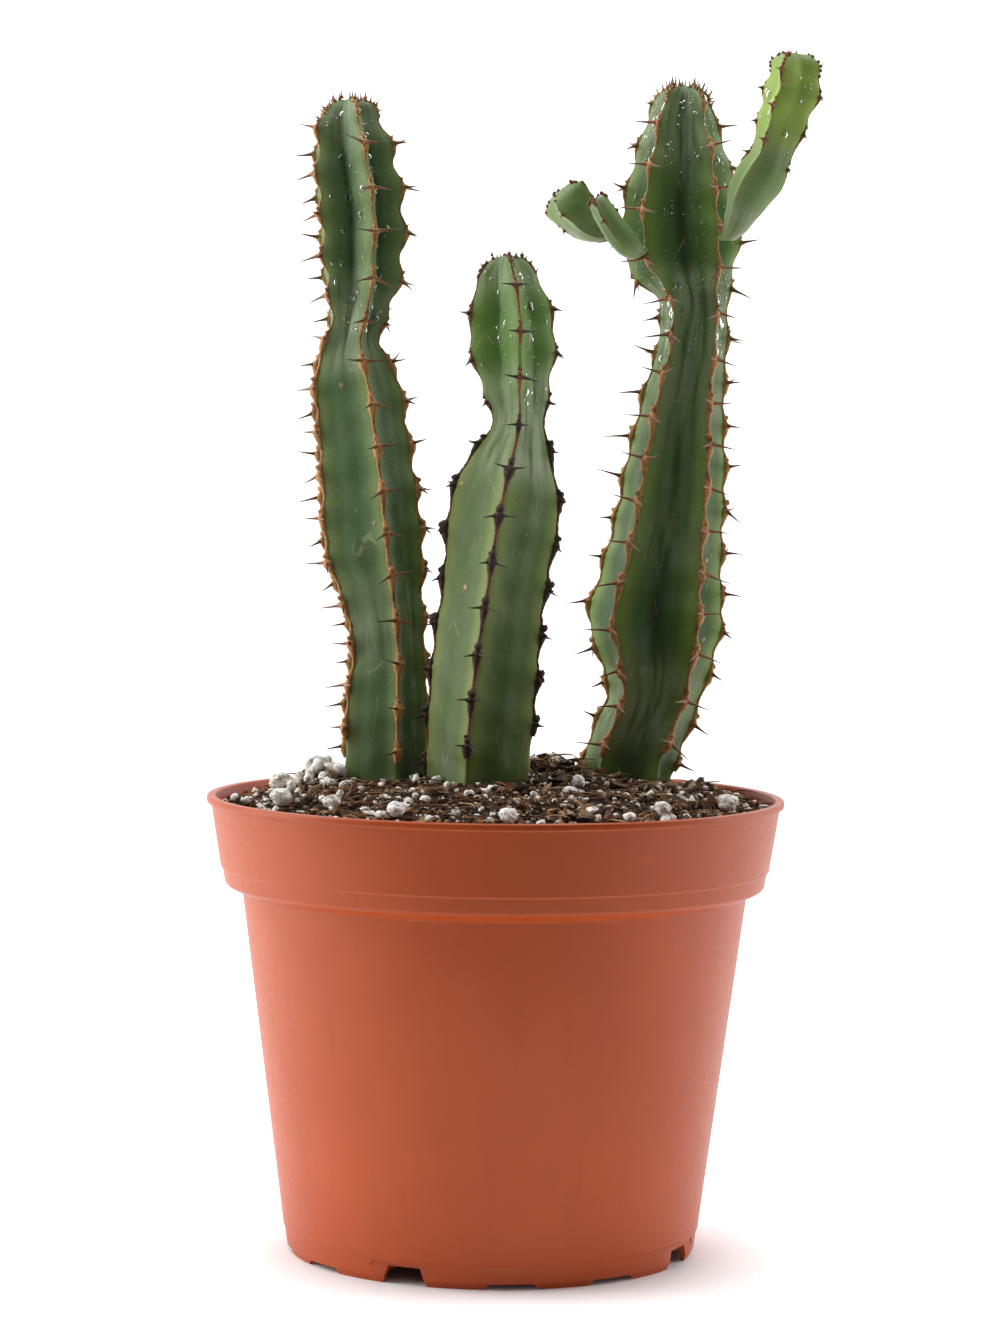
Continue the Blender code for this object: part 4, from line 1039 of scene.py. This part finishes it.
def horn(name, strip, shield, dark, thorn, point, tan_above=ABOVE_ALL):
    """Dead corky horn along a rib: dry and fibrous, tan where it is worn and darker in its cracks,
    with smoother thorns that darken to their points. It is fresher and more tan above a height."""
    made, tree, shader = start_material(name, {"Roughness": 0.62, "IOR": 1.52})
    reach, pad = (add(tree, "Attribute", {}, "Fac", attribute_name=label) for label in ("thorn", "pad"))
    place = add(tree, "TexCoord", {}, "Object")
    high = add(tree, "SeparateXYZ", {0: place}, "Z")
    cloud = add(tree, "TexNoise", {"Vector": place, "Scale": per_mm(3.5), "Detail": 5.0})
    crack = add(tree, "TexNoise", {"Vector": place, "Scale": per_mm(0.5), "Detail": 4.0})
    worn = add(tree, "TexNoise", {"Vector": place, "Scale": per_mm(0.9), "Detail": 3.0})
    colour = layered(
        tree, strip,
        (shield, (pad, 0.1, 0.9)),
        (dark, (cloud, 0.48, 0.70, 0.9)),
        ("#9C6A3C", (high, tan_above, tan_above + 0.012, 0.8)),
        (dark, (crack, 0.50, 0.66, 0.7)),
        (strip, (worn, 0.56, 0.72, 0.6), pad),
        (thorn, (reach, 0.12, 0.35)),
        (point, (reach, 0.45, 0.95)))
    smoother = {"Value": reach, "From Min": 0.6, "From Max": 0.1, "To Min": 0.38, "To Max": 0.68}
    rough = add(tree, "MapRange", smoother, interpolation_type="SMOOTHSTEP")
    bump = add(tree, "Bump", {"Height": crack, "Strength": 0.8, "Distance": 0.15 * MM})
    plug(tree, shader, {"Base Color": colour, "Roughness": rough, "Normal": bump})
    return made


def moulded_plastic():
    """Terracotta-coloured polypropylene, injection moulded: satin with a faint orange-peel grain,
    slightly cloudy in colour, scuffed in places, with a little pale dust from handling."""
    made, tree, shader = start_material("terracotta_polypropylene", {
        "Roughness": 0.42, "IOR": 1.50, "Specular IOR Level": 0.38})
    place = add(tree, "TexCoord", {}, "Object")
    cloud = add(tree, "TexNoise", {"Vector": place, "Scale": per_mm(38), "Detail": 3.0})
    flow = add(tree, "Mapping", {"Vector": place, "Scale": (1.0, 1.0, 0.06)})
    drawn = add(tree, "TexNoise", {"Vector": flow, "Scale": per_mm(3.0), "Detail": 4.0})
    peel = add(tree, "TexNoise", {"Vector": place, "Scale": per_mm(0.6), "Detail": 2.0})
    dust = add(tree, "TexNoise", {"Vector": place, "Scale": per_mm(1.6), "Detail": 6.0, "Roughness": 0.7})
    colour = layered(
        tree, "#AF4711",
        ("#B64D17", (cloud, 0.35, 0.70)),
        ("#A24010", (drawn, 0.50, 0.80, 0.25)),
        ("#BC602E", (peel, 0.50, 0.72, 0.10)),
        ("#D9A68E", (dust, 0.70, 0.82, 0.35)))
    scuffed = {"Value": dust, "From Min": 0.3, "From Max": 0.8, "To Min": 0.36, "To Max": 0.55}
    rough = add(tree, "MapRange", scuffed)
    grain = add(tree, "Bump", {"Height": peel, "Strength": 0.22, "Distance": 0.05 * MM})
    wave = add(tree, "Bump", {"Height": drawn, "Strength": 0.12, "Distance": 0.15 * MM, "Normal": grain})
    plug(tree, shader, {"Base Color": colour, "Roughness": rough, "Normal": wave})
    return made


def bark_and_peat(name, dark, middle, rusty, pale):
    """Damp composted bark and peat: nearly black to rusty brown, rough, each bit its own tone."""
    made, tree, shader = start_material(name, {"Roughness": 0.9, "IOR": 1.4})
    tone = add(tree, "Attribute", {}, "Fac", attribute_name="tone")
    place = add(tree, "TexCoord", {}, "Object")
    grain = add(tree, "TexNoise", {"Vector": place, "Scale": per_mm(0.9), "Detail": 5.0, "Roughness": 0.65})
    stops = ((0.0, dark), (1.0, pale), (0.45, middle), (0.80, rusty))
    colour = add(tree, "ValToRGB", {0: tone}, stops=stops)
    colour = layered(tree, colour, (dark, (grain, 0.45, 0.70, 0.75)))
    bump = add(tree, "Bump", {"Height": grain, "Strength": 1.0, "Distance": 0.5 * MM})
    plug(tree, shader, {"Base Color": colour, "Normal": bump})
    return made


def expanded_perlite():
    """Volcanic glass puffed by heat: chalky white froth with pits, stained by the peat in places."""
    made, tree, shader = start_material("expanded_perlite", {"Roughness": 0.88, "IOR": 1.5})
    tone = add(tree, "Attribute", {}, "Fac", attribute_name="tone")
    place = add(tree, "TexCoord", {}, "Object")
    stain = add(tree, "TexNoise", {"Vector": place, "Scale": per_mm(1.8), "Detail": 4.0})
    froth = add(tree, "TexVoronoi", {"Vector": place, "Scale": per_mm(0.55)})
    colour = layered(
        tree, "#FBF8F2",
        ("#E6DECE", (tone, 0.5, 1.0, 0.7)),
        ("#7E6046", (stain, 0.50, 0.70, 0.75)),
        ("#A89C88", (froth, 0.3, 0.05, 0.25)))
    bump = add(tree, "Bump", {"Height": froth, "Strength": 0.7, "Distance": 0.25 * MM})
    plug(tree, shader, {"Base Color": colour, "Normal": bump})
    return made


def water():
    """Clean water beads: clear and glossy, seen by their highlights."""
    return start_material("water", {
        "Base Color": "#F6FBFA", "Roughness": 0.02, "IOR": 1.333, "Transmission Weight": 1.0})[0]


def studio_paper(name, glow):
    """Matte white background paper, softly uneven in tone, that glows by as much as the glow. On the floor
    this glow is painted light. It fades out from 80 to 45 mm from the pot's axis and is left off under the
    pot, which leaves a painted shade there."""
    made, tree, shader = start_material(name, {"Roughness": 0.9, "IOR": 1.45, "Emission Color": "#FDFDFF"})
    place = add(tree, "TexCoord", {}, "Object")
    cloud = add(tree, "TexNoise", {"Vector": place, "Scale": 3.0, "Detail": 2.0})
    away = add(tree, "VectorMath", {0: place}, "Value", operation="LENGTH")
    plug(tree, shader, {"Base Color": layered(tree, "#F7F7F8", ("#FAFAFA", cloud)),
                        # painted light: the paper glows, but less within 80 mm of the pot's axis and not at
                        # all within 45 mm, a painted shade there
                        "Emission Strength": share(tree, (away, 0.045, 0.080, glow))})
    return made


# ---------------------------------------------------------------- studio

def make_sweep(floor, wall):
    """Paper that lies on a table, ends in front of it, and curves up far behind; its wall is lit."""
    half, front, back, bend, top, steps = 3.0, -0.24, 2.4, 0.8, 3.5, 16
    outline = [(front, 0.0)]
    for i in range(steps + 1):
        turn = math.radians(90) * i / steps
        outline.append((back - bend + bend * math.sin(turn), bend - bend * math.cos(turn)))
    outline.append((back, top))
    for name, look, points in (("paper_floor", floor, outline[:2]), ("paper_wall", wall, outline[1:])):
        verts = [(x, y, z) for y, z in points for x in (-half, half)]
        faces = [(2 * i, 2 * i + 1, 2 * i + 3, 2 * i + 2) for i in range(len(points) - 1)]
        make_object(name, verts, faces, look)


# Soft boxes that point at the plant's middle: name, place in m, width and height in m, power in W.
PLANT_MIDDLE = (0.0, 0.0, 0.16)
LAMPS = (
    ("left_soft_box", (-1.0, 0.05, 0.45), (0.7, 1.2), 12),
    ("right_soft_box", (1.05, 0.30, 0.45), (0.7, 1.1), 7),
    ("top_soft_box", (-0.1, 0.20, 1.4), (1.6, 1.2), 17),
    ("front_fill", (-0.7, -1.6, 1.2), (0.9, 0.9), 1.8),
)


def make_studio():
    for name, place, size, power in LAMPS:
        light = bpy.data.lights.new(name, "AREA")
        light.shape = "RECTANGLE"
        light.size, light.size_y = size
        light.energy = power
        obj = bpy.data.objects.new(name, light)
        obj.location = place
        aim = Vector(PLANT_MIDDLE) - Vector(place)
        obj.rotation_euler = aim.to_track_quat("-Z", "Y").to_euler()
        bpy.context.scene.collection.objects.link(obj)
    world = bpy.data.worlds.new("studio")
    world.use_nodes = True
    back = world.node_tree.nodes["Background"]
    back.inputs["Color"].default_value = hue("#FDFDFF")
    back.inputs["Strength"].default_value = 0.09
    bpy.context.scene.world = world
    bpy.context.scene.view_settings.view_transform = "Standard"


# The camera's place in m, its tilt up from straight down and its roll in degrees, and its lens in mm.
CAMERA_PLACE, CAMERA_TILT, CAMERA_ROLL, CAMERA_LENS = (0.0007, -0.997, 0.2114), 86.6, 0.71, 103.8


def make_camera():
    camera = bpy.data.cameras.new("camera")
    camera.sensor_width = 36.0
    camera.lens = CAMERA_LENS
    camera.clip_end = 50.0
    obj = bpy.data.objects.new("camera", camera)
    stand = Matrix.Translation(CAMERA_PLACE)
    tilt = Matrix.Rotation(math.radians(CAMERA_TILT), 4, "X")
    roll = Matrix.Rotation(math.radians(CAMERA_ROLL), 4, "Z")
    obj.matrix_world = stand @ tilt @ roll
    bpy.context.scene.collection.objects.link(obj)
    bpy.context.scene.camera = obj


# ---------------------------------------------------------------- the whole plant

# How far up the middle stem its horn is old and dark, in m.
OLD_HORN_HEIGHT = 0.090
# How many drops of water each shoot carries.
DROPLETS = (("stem_right", 1200), ("stem_left", 520), ("stem_middle", 190), ("branch_tall", 60))
# How far from a stem's axis the loose mix keeps.
FOOT_CLEARANCE = 11.5 * MM


def make_plant():
    grown = grow_skeletons()
    skeletons = list(grown.values())
    # Skin colours: valley green with painted shade, flesh, flank tone with a painted highlight, bloom; then
    # roughness, the tint of new growth and its share.
    skin_looks = {
        "stem_left": succulent_skin(
            "frosted_stem_skin", "#2B3F26", "#5A7548", "#86995A", "#9AAA8C", 0.46, "#5C8240", 0.15),
        "stem_middle": succulent_skin(
            "olive_stem_skin", "#33481F", "#526A2D", "#7F9044", "#87935F", 0.46, "#5F8E38", 0.45),
        "stem_right": succulent_skin(
            "waxy_stem_skin", "#243620", "#4A6834", "#86A045", "#7C9064", 0.44, "#4C7034", 0.2),
    }
    fresh = succulent_skin(
        "young_stem_skin", "#6A8550", "#7C985C", "#98AE68", "#9DAF86", 0.42, "#A9C64A", 0.65)
    tan_horn = horn("tan_horn", "#B08A52", "#CE955A", "#754322", "#7D4B2C", "#33261E")
    old_horn = horn("old_horn", "#8A5634", "#40281A", "#19110C", "#3E2A1E", "#1E1612",
                    grown["stem_middle"].line + OLD_HORN_HEIGHT)
    new_horn = horn("new_horn", "#94923F", "#9A5A34", "#5E2A1C", "#7A3E28", "#38241C")
    skins = {}
    for name, skeleton in grown.items():
        stem = skeleton.shoot.foot is not None
        skin = make_skin(skeleton, skin_looks.get(name, fresh))
        belongs(skin, "stem_skin" if stem else "young_skin", name)
        skins[name] = skin
        look, slot = tan_horn if stem else new_horn, "horny_margin"
        if name == "stem_middle":
            look, slot = old_horn, OLD_SLOT
        for rib in range(len(skeleton.shoot.ribs)):
            make_margin(skeleton, rib, skeletons, look, slot)
    make_droplets([(skins[name], count) for name, count in DROPLETS], water())


def make_bed():
    feet = [(*(v * mix_radius() for v in s.foot), FOOT_CLEARANCE) for s in SHOOTS if s.foot]
    peat = bark_and_peat("damp_bark_and_peat", "#261A13", "#5E4432", "#96683F", "#C7AD8C")
    coir = bark_and_peat("coir_strands", "#3C2A1E", "#7A5638", "#A87A4C", "#D0B088")
    foam = expanded_perlite()
    make_mix(peat)
    chip, bit, lump = (lump_template(i) for i in (1, 2, 3))
    strew("bark_chips", 1500, (1.0, 5.0), (1.5, 0.8, 0.40), 0.24, chip, peat, "potting_mix", feet)
    strew("peat_crumbs", 11000, (0.4, 1.9), (1.2, 0.9, 0.8), 0.28, chip, peat, "potting_mix", feet, sink=0.0)
    strew("perlite_dust", 2000, (0.4, 1.5), (1.1, 1.0, 0.85), 0.14, chip, foam, "perlite", feet, sink=0.0)
    strew("perlite_bits", 560, (1.1, 3.0), (1.2, 1.0, 0.8), 0.11, bit, foam, "perlite", feet,
          edge_bias=0.60, sink=0.15, flat=False)
    strew("perlite_lumps", 34, (2.4, 4.2), (1.2, 1.0, 0.8), 0.06, lump, foam, "perlite", feet,
          edge_bias=0.66, sink=0.25, flat=False)
    strew("perlite_clump", 60, (1.0, 3.4), (1.1, 1.0, 0.9), 0.10, bit, foam, "perlite", feet, sink=-0.2,
          flat=False, clump=(-47, 3, 3.4))
    make_fibres(1500, coir, feet)
    make_large_grains(foam)


make_camera()
make_studio()
# The floor's glow of 0.36 is painted light, with a painted shade near and under the pot; the wall glows
# evenly.
make_sweep(studio_paper("studio_paper", 0.36), studio_paper("lit_paper", 1.0))
make_pot(moulded_plastic())
make_bed()
make_plant()
bpy.context.view_layer.update()
